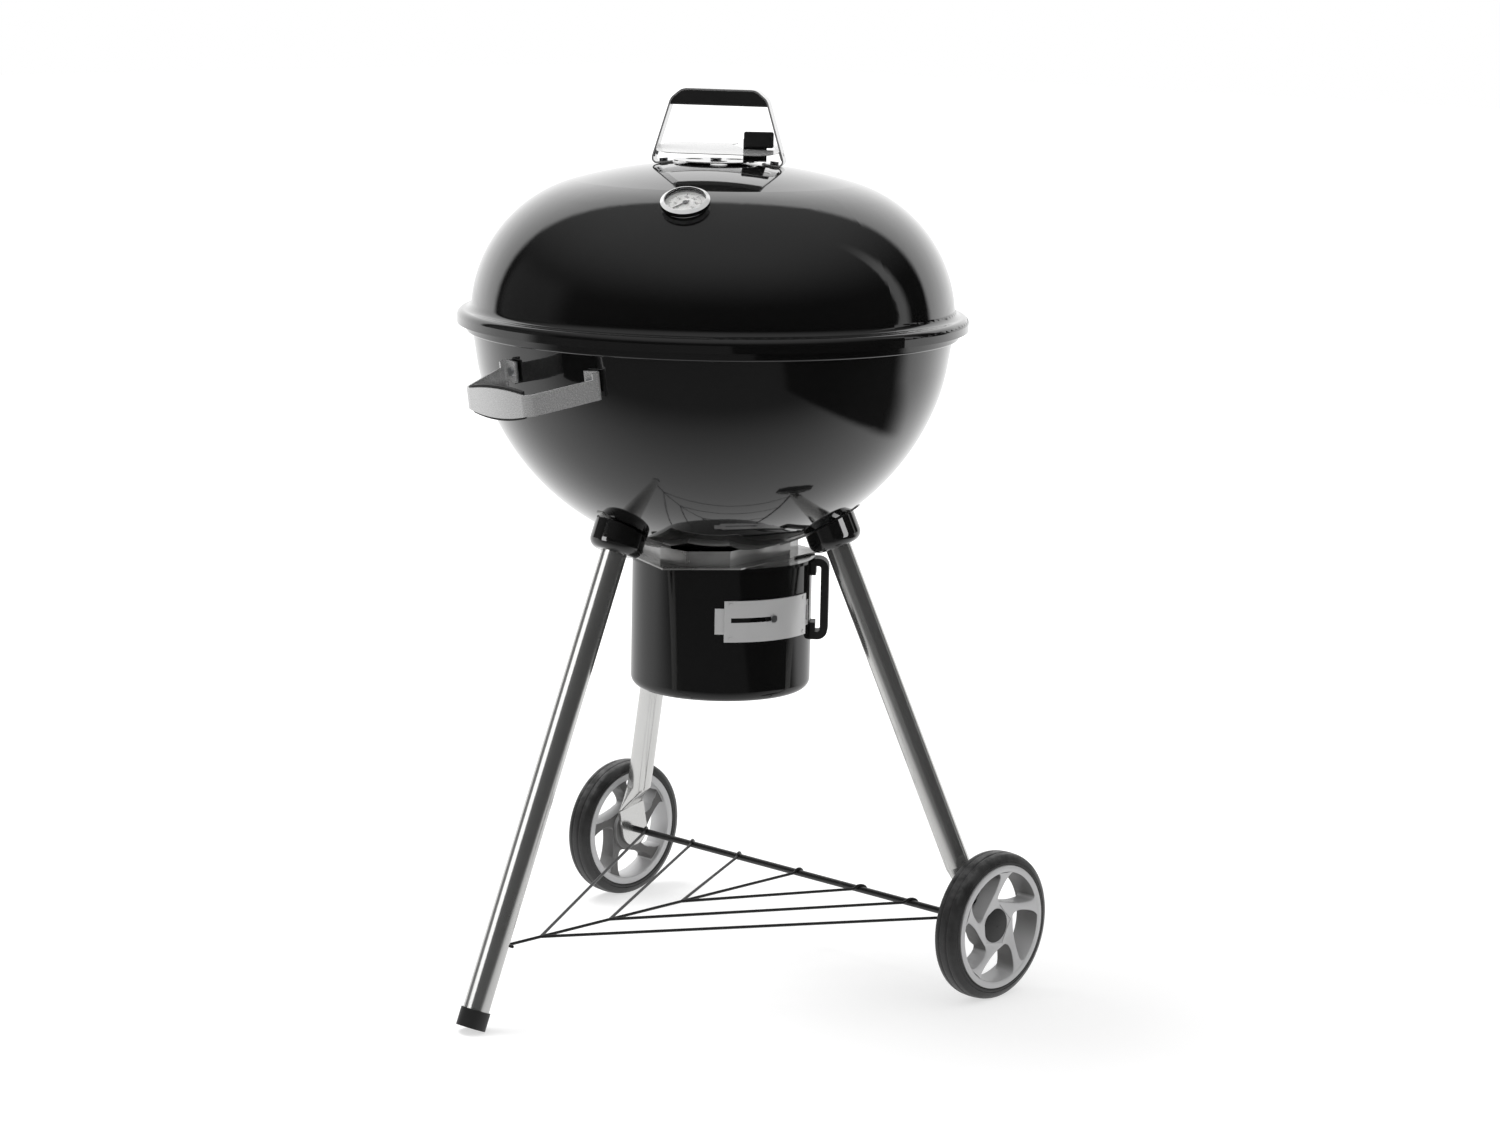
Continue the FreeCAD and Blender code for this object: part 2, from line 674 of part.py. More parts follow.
def make_damper_lever():
    """Upright blade along a radius of the disc, with a foot spot-welded to it."""
    base = damper_sheet + weld_gap
    length = lever_outer - lever_inner
    blade = Part.makeBox(length, lever_sheet, tab_rise + tab_socket - base,
                         V(lever_inner, -lever_sheet / 2.0, base))
    foot = Part.makeBox(length, lever_foot, lever_sheet, V(lever_inner, -lever_foot / 2.0, base))
    return lid_place(spun(blade.fuse(foot).removeSplitter(), lever_turn), damper_z)


def make_damper_tab():
    """Moulded grip pushed onto the lever."""
    tab = Part.makeBox(tab_outer - tab_inner, tab_thickness, tab_height,
                       V(tab_inner, -tab_thickness / 2.0, tab_rise))
    tab = tab.makeFillet(tab_round, tab.Edges)
    slot = Part.makeBox(lever_outer - lever_inner + 2 * weld_gap, lever_sheet + 2 * weld_gap,
                        tab_socket + weld_gap,
                        V(lever_inner - weld_gap, -lever_sheet / 2.0 - weld_gap, tab_rise))
    return lid_place(spun(tab.cut(slot), lever_turn), damper_z)


def make_damper_rivet():
    """Pivot rivet: flat head over the disc, tail under the lid."""
    under = lid_top_z - sheet - seat_gap
    over = damper_z + damper_sheet + seat_gap
    shank = cylinder(damper_rivet_radius, over - under, V(0, 0, under))
    head = cylinder(2.2 * damper_rivet_radius, 1.5 * damper_sheet, V(0, 0, over))
    tail = cylinder(1.8 * damper_rivet_radius, 1.5 * damper_sheet, V(0, 0, under - 1.5 * damper_sheet))
    return head.fuse([shank, tail]).removeSplitter()


# ---------------------------------------------------------------- thermometer
thermometer_z, thermometer_tilt = lid_surface(thermometer_offset)
thermometer_base = plan(thermometer_offset, thermometer_turn, thermometer_z)


def thermometer_axis():
    a = math.radians(thermometer_tilt)
    return plan(math.sin(a), thermometer_turn, math.cos(a))


def thermometer_place(shape):
    """Carry a shape modelled upright on the lid's surface to the thermometer's seat."""
    return placed(shape, thermometer_base, plan(1.0, thermometer_turn + 90.0), thermometer_axis())


groove_top = thermometer_height - bezel_cover
glass_ledge = groove_top - glass_sheet - 2 * weld_gap


def make_thermometer_case():
    """Cup with a sloped bezel over a groove for the glass."""
    r, h = thermometer_radius, thermometer_height
    window = r - thermometer_bezel
    seat = r - thermometer_wall
    bore = stem_radius + running_gap
    foot = 2 * bezel_slope
    points = [V(bore, 0, weld_gap), V(r - foot, 0, weld_gap), V(r, 0, foot), V(r, 0, h - bezel_slope),
              V(window + bezel_rise, 0, h + bezel_rise), V(window, 0, h + bezel_rise),
              V(window, 0, groove_top), V(seat, 0, groove_top), V(seat, 0, glass_ledge),
              V(window, 0, glass_ledge),
              V(window, 0, thermometer_wall), V(bore, 0, thermometer_wall)]
    return thermometer_place(turned(polygon(points)))


dial_z = thermometer_wall + weld_gap
needle_z = dial_z + dial_sheet + needle_lift


def make_thermometer_dial():
    disc = cylinder(thermometer_radius - thermometer_bezel - weld_gap, dial_sheet, V(0, 0, dial_z))
    bore = cylinder(spindle_radius + running_gap, 3 * dial_sheet, V(0, 0, dial_z - dial_sheet))
    return thermometer_place(disc.cut(bore))


def make_thermometer_needle():
    """Pointer on its spindle, at the bottom of the scale."""
    thickness = needle_sheet + spindle_proud
    spindle = cylinder(spindle_radius, needle_z - dial_z + thickness, V(0, 0, dial_z))
    hub = cylinder(2 * spindle_radius, thickness, V(0, 0, needle_z))
    wide, narrow = needle_width / 2.0, needle_tip_width / 2.0
    blade = polygon([V(-wide, -needle_tail, 0), V(wide, -needle_tail, 0), V(narrow, needle_length, 0),
                     V(-narrow, needle_length, 0)]).extrude(V(0, 0, needle_sheet))
    blade.translate(V(0, 0, needle_z))
    pointer = spindle.fuse([hub, blade]).removeSplitter()
    pointer.rotate(ORIGIN, UP, needle_travel / 2.0)
    return thermometer_place(pointer)


def make_thermometer_glass():
    radius = thermometer_radius - thermometer_wall - weld_gap
    return thermometer_place(cylinder(radius, glass_sheet, V(0, 0, glass_ledge + weld_gap)))


def make_thermometer_stem():
    """Probe through the lid, ending above the case floor."""
    top = thermometer_wall
    return thermometer_place(cylinder(stem_radius, stem_length, V(0, 0, top - stem_length)))


def make_thermometer_nut():
    top = -sheet - weld_gap - stem_nut_radius ** 2 / (2.0 * (lid_knuckle_radius - sheet))
    return thermometer_place(hexagon_nut(stem_nut_radius, stem_nut_height, stem_radius + running_gap, top))


# ---------------------------------------------------------------- bowl and its handles
def make_bowl_shell():
    outer, start, end = bowl_outline(0.0, bowl_opening_radius)
    inner, inner_start, inner_end = bowl_outline(sheet, bowl_opening_radius)
    shell = revolve_sheet(outer, inner, line(start, inner_start), line(end, inner_end))
    return shell.cut(at_side_tabs(cylinder(screw_radius + running_gap, 20 * sheet, V(0, 0, -15 * sheet))))


def side_frame(azimuth):
    """Base, right-hand direction and upward normal of a bowl handle's sloping plane."""
    tilt = math.radians(side_tilt)
    base = plan(side_mount_line, azimuth, side_z)
    outward = plan(math.cos(tilt), azimuth, -math.sin(tilt))
    across = plan(1.0, azimuth + 90.0)
    return base, across, outward


side_wall_radius = bowl_wall_radius(side_z)
side_spacer_back = spacer_sheet + weld_gap       # behind the mounting line
side_mount_line = (math.sqrt(side_wall_radius ** 2 - side_mount_half ** 2)
                   + side_lean_room + side_spacer_back)
side_wall_turn = math.asin(side_mount_half / side_wall_radius)
side_leg_lean = math.atan((side_mount_half - side_corner_half) / side_reach)
side_tab_turn = math.pi / 2.0 + side_wall_turn + side_leg_lean       # bend from tab to leg
side_tab_middle = (side_tab_length + side_tab_bend * math.tan(side_tab_turn / 2.0)) / 2.0
side_tab_height = side_leg_height + side_ear_step - side_tab_cut
side_tab_rise = (side_ear_step + side_tab_cut) / 2.0         # tab's middle above the leg's


def side_place(shape, azimuth):
    """Local X runs along the bowl, local Y points out from it, local Z down across the strap."""
    base, across, outward = side_frame(azimuth)
    return placed(shape, base, across, across.cross(outward))


def at_side_tabs(shape):
    """Copies of a shape at the four tabs' middles, its Z square to the tab and away from the bowl."""
    copies = []
    for azimuth in (side_turn, side_turn + 180.0):
        for side in (-1, 1):
            along = V(-side * math.cos(side_wall_turn), math.sin(side_wall_turn), 0)
            outward = V(side * math.sin(side_wall_turn), math.cos(side_wall_turn), 0)
            middle = V(side * side_mount_half, 0, -side_tab_rise) + along * side_tab_middle
            copies.append(side_place(placed(shape, middle, along * -side, outward), azimuth))
    return copies


def side_path():
    """Bowl-side face of a tab, outside of a leg, the bar, and back again."""
    tab = V(-side_mount_half + side_tab_length * math.cos(side_wall_turn),
            side_tab_length * math.sin(side_wall_turn), 0)
    left = [tab, V(-side_mount_half, 0, 0), V(-side_corner_half, side_reach, 0)]
    right = [V(-p.x, p.y, 0) for p in reversed(left)]
    return left + [V(0, side_reach + side_bow, 0)] + right


side_bends = [side_tab_bend, side_corner_bend, side_bar_bend, side_corner_bend, side_tab_bend]
side_bar_half = side_corner_half - side_corner_bend / 2.0        # where the bar starts to swell


def swelling_bar(half, proud):
    """Room for the bar between its corners: straight sides, bulging top and bottom."""
    height = side_leg_height / 2.0 + proud
    swell = height + side_bar_swell
    corners = [V(half, 0, height), V(half, 0, -height), V(-half, 0, -height), V(-half, 0, height)]
    edges = [line(corners[0], corners[1]), arc(corners[1], V(0, 0, -swell), corners[2]),
             line(corners[2], corners[3]), arc(corners[3], V(0, 0, swell), corners[0])]
    return face(edges).extrude(V(0, 2 * side_reach, 0))


def make_side_strap(azimuth):
    """Strap standing on edge, bent out from the bowl and back: tabs turned inwards, square-topped
    ears at the bowl, narrower legs, and a bar that swells in its middle."""
    half = side_leg_height / 2.0
    wide = 4 * side_mount_half
    tall = half + side_ear_step
    loop = bent_strip(side_path(), side_bends, -strap, 2 * tall)
    loop.translate(V(0, 0, -tall))
    legs = Part.makeBox(wide, wide, side_leg_height, V(-wide / 2.0, side_ear_length, -half))
    ears = Part.makeBox(wide, wide, half + tall, V(-wide / 2.0, side_ear_length - wide, -tall))
    loop = loop.common(swelling_bar(side_bar_half, 0.0).fuse([legs, ears])).removeSplitter()
    inside = side_mount_half - side_tab_bend
    depth = side_tab_length * math.sin(side_wall_turn) + strap
    loop = loop.cut(Part.makeBox(2 * inside, depth, side_tab_cut, V(-inside, 0, half - side_tab_cut)))
    holes = at_side_tabs(cylinder(screw_radius + running_gap, 4 * strap, V(0, 0, -strap)))
    return side_place(loop, azimuth).cut(holes)


def make_side_grip(azimuth):
    """Moulded lining inside the bar, a little taller than it."""
    tall = side_leg_height / 2.0 + side_grip_proud + side_bar_swell
    lining = bent_strip(side_path(), side_bends, -side_grip_thickness, 2 * tall, -strap - weld_gap)
    lining.translate(V(0, 0, -tall))
    return side_place(lining.common(swelling_bar(side_grip_half, side_grip_proud)), azimuth)


def make_side_spacers():
    """Plates that stand the strap's tabs off the bowl."""
    plate = Part.makeBox(spacer_width, side_tab_height, spacer_sheet,
                         V(-spacer_width / 2.0, -side_tab_height / 2.0, -side_spacer_back))
    hole = cylinder(screw_radius + running_gap, 3 * side_spacer_back, V(0, 0, -2 * side_spacer_back))
    return Part.makeCompound(at_side_tabs(plate.cut(hole)))


def make_side_screws():
    """Screws through the tabs, the spacers and the bowl wall."""
    seat = strap + weld_gap
    tail = -side_spacer_back - side_lean_room - sheet - side_screw_reach
    head = cylinder(screw_head_radius, side_head_height, V(0, 0, seat))
    shank = cylinder(screw_radius, seat - tail, V(0, 0, tail))
    return Part.makeCompound(at_side_tabs(head.fuse(shank).removeSplitter()))


# ---------------------------------------------------------------- grates
def wire_grate(radius, pitch, wire, bar):
    """Round grate: rim ring, two cross wires and parallel bars welded on top."""
    ring = Part.makeTorus(radius, wire)
    top = wire + bar - weld_sink
    pieces = []
    for y in (-radius / 2.0, radius / 2.0):
        half = math.sqrt(radius ** 2 - y ** 2)
        pieces.append(cylinder(wire, 2 * half, V(y, -half, 0), V(0, 1, 0)))
    count = int((radius - bar) / pitch)
    for i in range(-count, count + 1):
        y = i * pitch
        half = math.sqrt(radius ** 2 - y ** 2)
        pieces.append(cylinder(bar, 2 * half, V(-half, y, top), V(1, 0, 0)))
    return ring.fuse(pieces)


charcoal_z = bowl_centre_z - math.sqrt(
    (bowl_bottom_radius - sheet - grate_wire - seat_gap) ** 2 - charcoal_radius ** 2)


def make_cooking_grate():
    grate = wire_grate(cooking_radius, cooking_pitch, grate_wire, grate_bar)
    grate.translate(V(0, 0, cooking_z))
    return grate


def make_charcoal_grate():
    grate = wire_grate(charcoal_radius, charcoal_pitch, grate_wire, grate_bar)
    grate.translate(V(0, 0, charcoal_z))
    return grate


def make_grate_brackets():
    """Angle brackets welded to the bowl wall that carry the cooking grate."""
    top = cooking_z - grate_wire - seat_gap
    inside = bowl_wall_radius(top - bracket_drop) - sheet - weld_gap
    reach = cooking_radius - bracket_reach
    half = bracket_width / 2.0
    shelf = Part.makeBox(bracket_width, inside - reach, bracket_sheet, V(-half, -inside, top - bracket_sheet))
    plate = Part.makeBox(bracket_width, bracket_sheet, bracket_drop, V(-half, -inside, top - bracket_drop))
    bracket = shelf.fuse(plate).common(cylinder(inside, top, ORIGIN)).removeSplitter()
    step = 360.0 / bracket_count
    return Part.makeCompound([spun(bracket, bracket_turn + i * step) for i in range(bracket_count)])


# ---------------------------------------------------------------- sockets, legs and foot
leg_names = ("front", "right", "left")


def leg_azimuth(index):
    return index * 360.0 / leg_count


def leg_frame(azimuth, z):
    """Point on a leg's centre line and the direction up along it."""
    a = math.radians(leg_tilt)
    return plan(leg_point(z), azimuth, z), plan(-math.sin(a), azimuth, math.cos(a))


def along_leg(z_from, z_to):
    return (z_to - z_from) / math.cos(math.radians(leg_tilt))


def make_socket(azimuth):
    """Enamelled cup that holds a leg's top against the bowl."""
    base, up = leg_frame(azimuth, socket_bottom_z)
    cup = cylinder(socket_radius, 60.0, ORIGIN)
    cup = cup.makeFillet(socket_fillet, [e for e in cup.Edges if e.Vertexes[0].Z < 1.0 and e.Length > 10.0
                                         and abs(e.BoundBox.ZMax - e.BoundBox.ZMin) < 1e-6])
    cup = cup.cut(cylinder(leg_radius + weld_gap, along_leg(socket_bottom_z, leg_top_z) + weld_gap, ORIGIN))
    cup = placed(cup, base, plan(1.0, azimuth + 90.0), up)
    room = Part.makeSphere(bowl_bottom_radius + arm_sheet + 2 * weld_gap, V(0, 0, bowl_centre_z))
    return cup.cut(room)


def leg_tube(azimuth, low_z):
    base, up = leg_frame(azimuth, low_z)
    return tube(leg_radius, leg_radius - leg_wall, along_leg(low_z, leg_top_z), base, up)


def make_front_leg():
    return leg_tube(0.0, foot_end_z + (foot_floor + weld_gap) * math.cos(math.radians(leg_tilt)))


foot_end_z = foot_radius * math.sin(math.radians(leg_tilt)) - foot_bevel


def make_foot():
    """Cap on the front leg, bevelled flat where it stands."""
    base, up = leg_frame(0.0, foot_end_z)
    cap = cylinder(foot_radius, foot_height, base, up)
    cap = cap.cut(cylinder(leg_radius + weld_gap, foot_height, base + up * foot_floor, up))
    floor_box = Part.makeBox(8 * foot_radius, 8 * foot_radius, 4 * foot_radius,
                             V(base.x - 4 * foot_radius, base.y - 4 * foot_radius, -4 * foot_radius))
    return cap.cut(floor_box)


crimp_x = wheel_track / 2.0 - hub_back - 2 * weld_gap - washer_sheet - crimp_thickness / 2.0


def make_rear_leg(index):
    """Tube leg whose lower end is crimped flat and drilled for the axle."""
    azimuth = leg_azimuth(index)
    side = 1.0 if index == 1 else -1.0
    base, up = leg_frame(azimuth, crimp_top_z)
    body = leg_tube(azimuth, crimp_top_z)
    axle_centre = V(side * crimp_x, wheel_inset, wheel_radius)
    fall = V(0, base.y - axle_centre.y, base.z - axle_centre.z)
    fall.normalize()
    flat_centre = axle_centre + fall * ((crimp_bottom_z - wheel_radius) / fall.z)
    round_end = placed(Part.Wire(Part.Circle(ORIGIN, UP, leg_radius).toShape()), base, V(0, 1, 0), up)
    flat_end = placed(Part.Wire(Part.Ellipse(ORIGIN, crimp_width / 2.0, crimp_thickness / 2.0).toShape()),
                      flat_centre, V(0, 1, 0), fall)
    crimp = Part.makeLoft([round_end, flat_end], True, True)
    blade = Part.makeBox(crimp_thickness, crimp_width, flat_centre.sub(axle_centre).Length,
                         V(-crimp_thickness / 2.0, -crimp_width / 2.0, 0))
    end = cylinder(crimp_width / 2.0, crimp_thickness, V(-crimp_thickness / 2.0, 0, 0), V(1, 0, 0))
    blade = blade.fuse(end)
    blade = placed(blade, axle_centre, V(1, 0, 0), fall)
    leg = body.fuse([crimp, blade])
    hole = cylinder(axle_radius + running_gap, 4 * crimp_thickness,
                    axle_centre - V(2 * crimp_thickness, 0, 0), V(1, 0, 0))
    return leg.cut(hole)


# ---------------------------------------------------------------- wheels and axle
def wheel_place(shape, side):
    """Wheels are modelled about Z with the outer face up."""
    centre = V(side * wheel_track / 2.0, wheel_inset, wheel_radius)
    return placed(shape, centre, V(0, side, 0), V(side, 0, 0))


def make_tyre(side):
    inner = wheel_radius - tyre_height
    half = tyre_width / 2.0
    crown = wheel_radius - tyre_shoulder
    low, low_start, low_end = arc_about((crown, tyre_shoulder - half), tyre_shoulder, -90.0, 0.0)
    high, high_start, high_end = arc_about((crown, half - tyre_shoulder), tyre_shoulder, 0.0, 90.0)
    edges = [line(V(inner, 0, -half), low_start), low, line(low_end, high_start), high,
             line(high_end, V(inner, 0, half)), line(V(inner, 0, half), V(inner, 0, -half))]
    return wheel_place(turned(face(edges)), side)


def spoke_windows():
    """Rounded openings that leave straight spokes, each passing beside the wheel's centre."""
    outer = wheel_radius - tyre_height - weld_gap - rim_face - rim_flank
    height = 4 * hub_back
    web = tube(outer, hub_radius, height, V(0, 0, -height / 2.0))
    bar = Part.makeBox(2 * outer, spoke_width, height, V(0, spoke_offset - spoke_width / 2.0, -height / 2.0))
    windows = []
    for window in web.cut([spun(bar, i * 360.0 / spoke_count) for i in range(spoke_count)]).Solids:
        corners = [e for e in window.Edges if abs(e.Vertexes[0].Z - e.Vertexes[-1].Z) > height / 2.0]
        windows.append(window.makeFillet(spoke_fillet, corners))
    return windows


def make_rim(side):
    """Moulded wheel centre: a ring round a dished web with swept spokes and a recessed hub."""
    outer = wheel_radius - tyre_height - weld_gap
    ring = outer - rim_face
    web = ring - rim_flank
    points = [V(0, 0, -hub_back), V(hub_radius, 0, -hub_back), V(hub_radius, 0, -web_back),
              V(web, 0, -web_back), V(ring, 0, -rim_back), V(outer, 0, -rim_back), V(outer, 0, rim_front),
              V(ring, 0, rim_front), V(web, 0, web_front), V(hub_radius, 0, hub_front), V(0, 0, hub_front)]
    solid = turned(polygon(points)).cut(spoke_windows())
    solid = solid.cut([cylinder(cap_radius + weld_gap, 2 * cap_recess, V(0, 0, hub_front - cap_recess)),
                       cylinder(axle_radius + running_gap, 4 * hub_back, V(0, 0, -2 * hub_back))])
    return wheel_place(spun(solid, spoke_turn[side]), side)


def make_hub_cap(side):
    """Domed cap pressed into the hub's recess, hollow over the axle's end."""
    dome_radius = (cap_radius ** 2 + cap_height ** 2) / (2.0 * cap_height)
    half_angle = math.asin(cap_radius / dome_radius) / 2.0
    apex = V(0, 0, hub_front + cap_height)
    middle = V(dome_radius * math.sin(half_angle), 0, apex.z - dome_radius * (1.0 - math.cos(half_angle)))
    inner = cap_radius - cap_wall
    skirt_z = hub_front - cap_recess + weld_gap
    points = [V(cap_radius, 0, hub_front), V(cap_radius, 0, skirt_z), V(inner, 0, skirt_z),
              V(inner, 0, hub_front - cap_wall), V(0, 0, apex.z - cap_wall), apex]
    edges = [arc(apex, middle, points[0])] + [line(points[i], points[i + 1]) for i in range(len(points) - 1)]
    return wheel_place(turned(face(edges)), side)


hub_floor = wheel_track / 2.0 + hub_front - cap_recess
axle_half = hub_floor + seat_gap + push_nut_height + 1.0


def make_axle():
    return cylinder(axle_radius, 2 * axle_half, V(-axle_half, wheel_inset, wheel_radius), V(1, 0, 0))


def axle_ring(radius, height, distance):
    """A pair of rings on the axle, one at each side, starting at a distance from the middle."""
    rings = []
    for side in (-1.0, 1.0):
        base = V(side * distance, wheel_inset, wheel_radius)
        rings.append(tube(radius, axle_radius + running_gap, height, base, V(side, 0, 0)))
    return Part.makeCompound(rings)


def make_washers():
    return axle_ring(washer_radius, washer_sheet, crimp_x + crimp_thickness / 2.0 + weld_gap)


def make_push_nuts():
    return axle_ring(push_nut_radius, push_nut_height, hub_floor + seat_gap)


# ---------------------------------------------------------------- frame under the bowl
def prism(sides, z_low, z_high):
    corners = [V(p.x, p.y, z_low) for p in polygon_from_sides(sides)]
    return polygon(corners).extrude(V(0, 0, z_high - z_low))


def make_bowl_frame():
    """Pressed steel frame: plate over the ash catcher, faceted band up to the bowl, and an arm
    to each leg socket that follows the bowl's underside."""
    band_sides = three_fold(frame_band_sides)
    plate_top = frame_plate_z + frame_sheet
    plate = prism(three_fold(frame_plate_sides), frame_plate_z, plate_top)
    plate = plate.cut(cylinder(frame_opening_radius, 3 * frame_sheet, V(0, 0, frame_plate_z - frame_sheet)))
    band = prism(band_sides, frame_plate_z, frame_band_top)
    band = band.cut(prism(three_fold(frame_band_sides, -frame_sheet), 0.0, 2 * frame_band_top))
    bowl_room = Part.makeSphere(bowl_bottom_radius + weld_gap, V(0, 0, bowl_centre_z))
    under = Part.makeSphere(bowl_bottom_radius + weld_gap + arm_sheet, V(0, 0, bowl_centre_z))
    root = frame_band_sides[0][1] - frame_sheet
    arm_plan = [V(-arm_root_half, -root, 0), V(arm_root_half, -root, 0),
                V(arm_tip_half, -arm_tip_radius, 0), V(-arm_tip_half, -arm_tip_radius, 0)]
    arm = polygon(arm_plan).extrude(V(0, 0, bowl_centre_z)).common(under)
    arms = [spun(arm, leg_azimuth(i)) for i in range(leg_count)]
    skirt = tube(frame_skirt_radius, frame_skirt_radius - frame_sheet, frame_skirt_drop + frame_sheet,
                 V(ash_centre.x, ash_centre.y, frame_plate_z - frame_skirt_drop))
    frame = plate.fuse([band, skirt] + arms).cut(bowl_room)
    return frame.removeSplitter()


# ---------------------------------------------------------------- ash catcher
ash_centre = plan(ash_offset, ash_turn)
ash_top_z = frame_plate_z - seat_gap
ash_bottom_z = ash_top_z - ash_height


def ash_polar(radius, azimuth, z):
    return ash_centre + plan(radius, azimuth, z)


def ash_sector(inner, outer, azimuth, half, z_low, z_high):
    """Piece of a ring about the ash catcher's axis."""
    ring = tube(outer, inner, z_high - z_low, V(ash_centre.x, ash_centre.y, z_low))
    reach = 2 * outer / math.cos(math.radians(half))
    wedge = polygon([ash_polar(0, 0, z_low), ash_polar(reach, azimuth - half, z_low),
                     ash_polar(reach, azimuth + half, z_low)])
    return ring.common(wedge.extrude(V(0, 0, z_high - z_low)))


def make_ash_catcher():
    """Enamelled bucket with a rolled lip and vent ports."""
    r = ash_radius
    centre = (r - ash_fillet, ash_bottom_z + ash_fillet)
    low, low_start, low_end = arc_about(centre, ash_fillet, -90.0, 0.0)
    inner, in_start, in_end = arc_about(centre, ash_fillet - sheet, 0.0, -90.0)
    lip_r = r + ash_lip
    lip_low = ash_top_z - ash_lip_height
    corners = [low_end, V(r, 0, lip_low), V(lip_r, 0, lip_low), V(lip_r, 0, ash_top_z),
               V(r - sheet, 0, ash_top_z), in_start]
    outside, inside = V(0, 0, ash_bottom_z), V(0, 0, ash_bottom_z + sheet)
    edges = [line(outside, low_start), low]
    edges += [line(corners[i], corners[i + 1]) for i in range(len(corners) - 1)]
    edges += [inner, line(in_end, inside), line(inside, outside)]
    bucket = turned(face(edges))
    bucket.translate(ash_centre)
    for i in range(port_count):
        azimuth = vent_turn + (i - (port_count - 1) / 2.0) * port_pitch
        bucket = bucket.cut(ash_sector(r - 3 * sheet, r + sheet, azimuth, port_half,
                                       vent_z - port_height / 2.0, vent_z + port_height / 2.0))
    return bucket.cut(at_ash_screws(cylinder(screw_radius + running_gap, 8 * sheet, V(0, 0, -4 * sheet))))


def make_ash_collar():
    """Ring in the bucket's mouth that centres it round the frame's skirt."""
    inner = frame_skirt_radius + seat_gap
    outer = ash_radius - sheet - weld_gap
    top = ash_top_z - collar_recess
    low = top - collar_height
    points = [V(inner, 0, top), V(inner, 0, low), V(inner + collar_sheet, 0, low),
              V(inner + collar_sheet, 0, top - collar_sheet), V(outer - collar_sheet, 0, top - collar_sheet),
              V(outer - collar_sheet, 0, low), V(outer, 0, low), V(outer, 0, top)]
    ring = turned(polygon(points))
    ring.translate(ash_centre)
    return ring


slide_inner = ash_radius + slide_gap
cover_inner = slide_inner + vent_sheet + slide_gap
slot_z = vent_z + slot_rise


def slot_cutter(azimuth, half, height, grow):
    return ash_sector(ash_radius, cover_inner + 3 * vent_sheet, azimuth, half + grow,
                      slot_z - height / 2.0, slot_z + height / 2.0)


def at_vent_rivets(radius, start, length):
    """Four cylinders at the corners of the vent cover, from a distance off the bucket's axis."""
    rods = []
    for up in (-1, 1):
        for turn in (-1, 1):
            azimuth = vent_turn + turn * (vent_half - vent_rivet_turn)
            spot = ash_polar(start, azimuth, vent_z + up * (vent_height / 2.0 - vent_rivet_inset))
            rods.append(cylinder(radius, length, spot, plan(1.0, azimuth)))
    return rods


def make_vent_cover():
    """Curved guide plate riveted to the bucket, slotted for the slide's stud."""
    z_low, z_high = vent_z - vent_height / 2.0, vent_z + vent_height / 2.0
    plate = ash_sector(cover_inner, cover_inner + vent_sheet, vent_turn, vent_half, z_low, z_high)
    rail_height = (vent_height - slide_height) / 2.0 - 2 * slide_gap
    for z in (z_low, z_high - rail_height):
        plate = plate.fuse(ash_sector(ash_radius + weld_gap, cover_inner + vent_sheet / 2.0, vent_turn,
                                      vent_half - rail_inset, z, z + rail_height))
    uprights = [e for e in plate.Edges if abs(e.Length - vent_height) < vent_sheet / 2.0]
    plate = plate.makeFillet(vent_edge, uprights)
    grow = math.degrees((stud_radius + slide_gap) / ash_radius)
    slot_middle = vent_turn - slide_travel / 2.0
    plate = plate.cut(slot_cutter(slot_middle, slide_travel / 2.0, slot_height, grow))
    holes = at_vent_rivets(vent_rivet_radius + weld_gap, ash_radius - vent_height, 2 * vent_height)
    return plate.cut(holes).removeSplitter()


def make_vent_rivets():
    start = ash_radius + 2 * weld_gap
    return Part.makeCompound(at_vent_rivets(
        vent_rivet_radius, start, cover_inner + vent_sheet + vent_rivet_proud - start))


def make_vent_slide():
    """Curved shutter between the bucket and its guide plate, with ports that line up when open."""
    z_low, z_high = vent_z - slide_height / 2.0, vent_z + slide_height / 2.0
    strip = ash_sector(slide_inner, slide_inner + vent_sheet, vent_turn, slide_half, z_low, z_high)
    for i in range(port_count):
        azimuth = vent_turn + (i - (port_count - 1) / 2.0) * port_pitch + port_pitch / 2.0
        strip = strip.cut(ash_sector(slide_inner - vent_sheet, slide_inner + 3 * vent_sheet, azimuth,
                                     port_half, vent_z - port_height / 2.0, vent_z + port_height / 2.0))
    spot = ash_polar(ash_radius, vent_turn, slot_z)
    return strip.cut(cylinder(stud_radius + running_gap, slot_height, spot, plan(1.0, vent_turn)))


def make_vent_stud():
    """Stud fixed to the slide; its head runs along the outside of the guide plate."""
    direction = plan(1.0, vent_turn)
    outside = cover_inner + vent_sheet + slide_gap
    shank = cylinder(stud_radius, outside - slide_inner, ash_polar(slide_inner, vent_turn, slot_z), direction)
    head = cylinder(stud_head_radius, stud_head_height, ash_polar(outside, vent_turn, slot_z), direction)
    return head.fuse(shank).removeSplitter()


def at_ash_screws(shape):
    """Copies of a shape at the handle's two screws, its Z pointing out from the bucket's wall."""
    inset = (ash_grip_length - ash_foot_height) / 2.0
    spots = [ash_polar(ash_radius, ash_turn, ash_grip_z + side * inset) for side in (-1, 1)]
    return [placed(shape, spot, UP, plan(1.0, ash_turn)) for spot in spots]


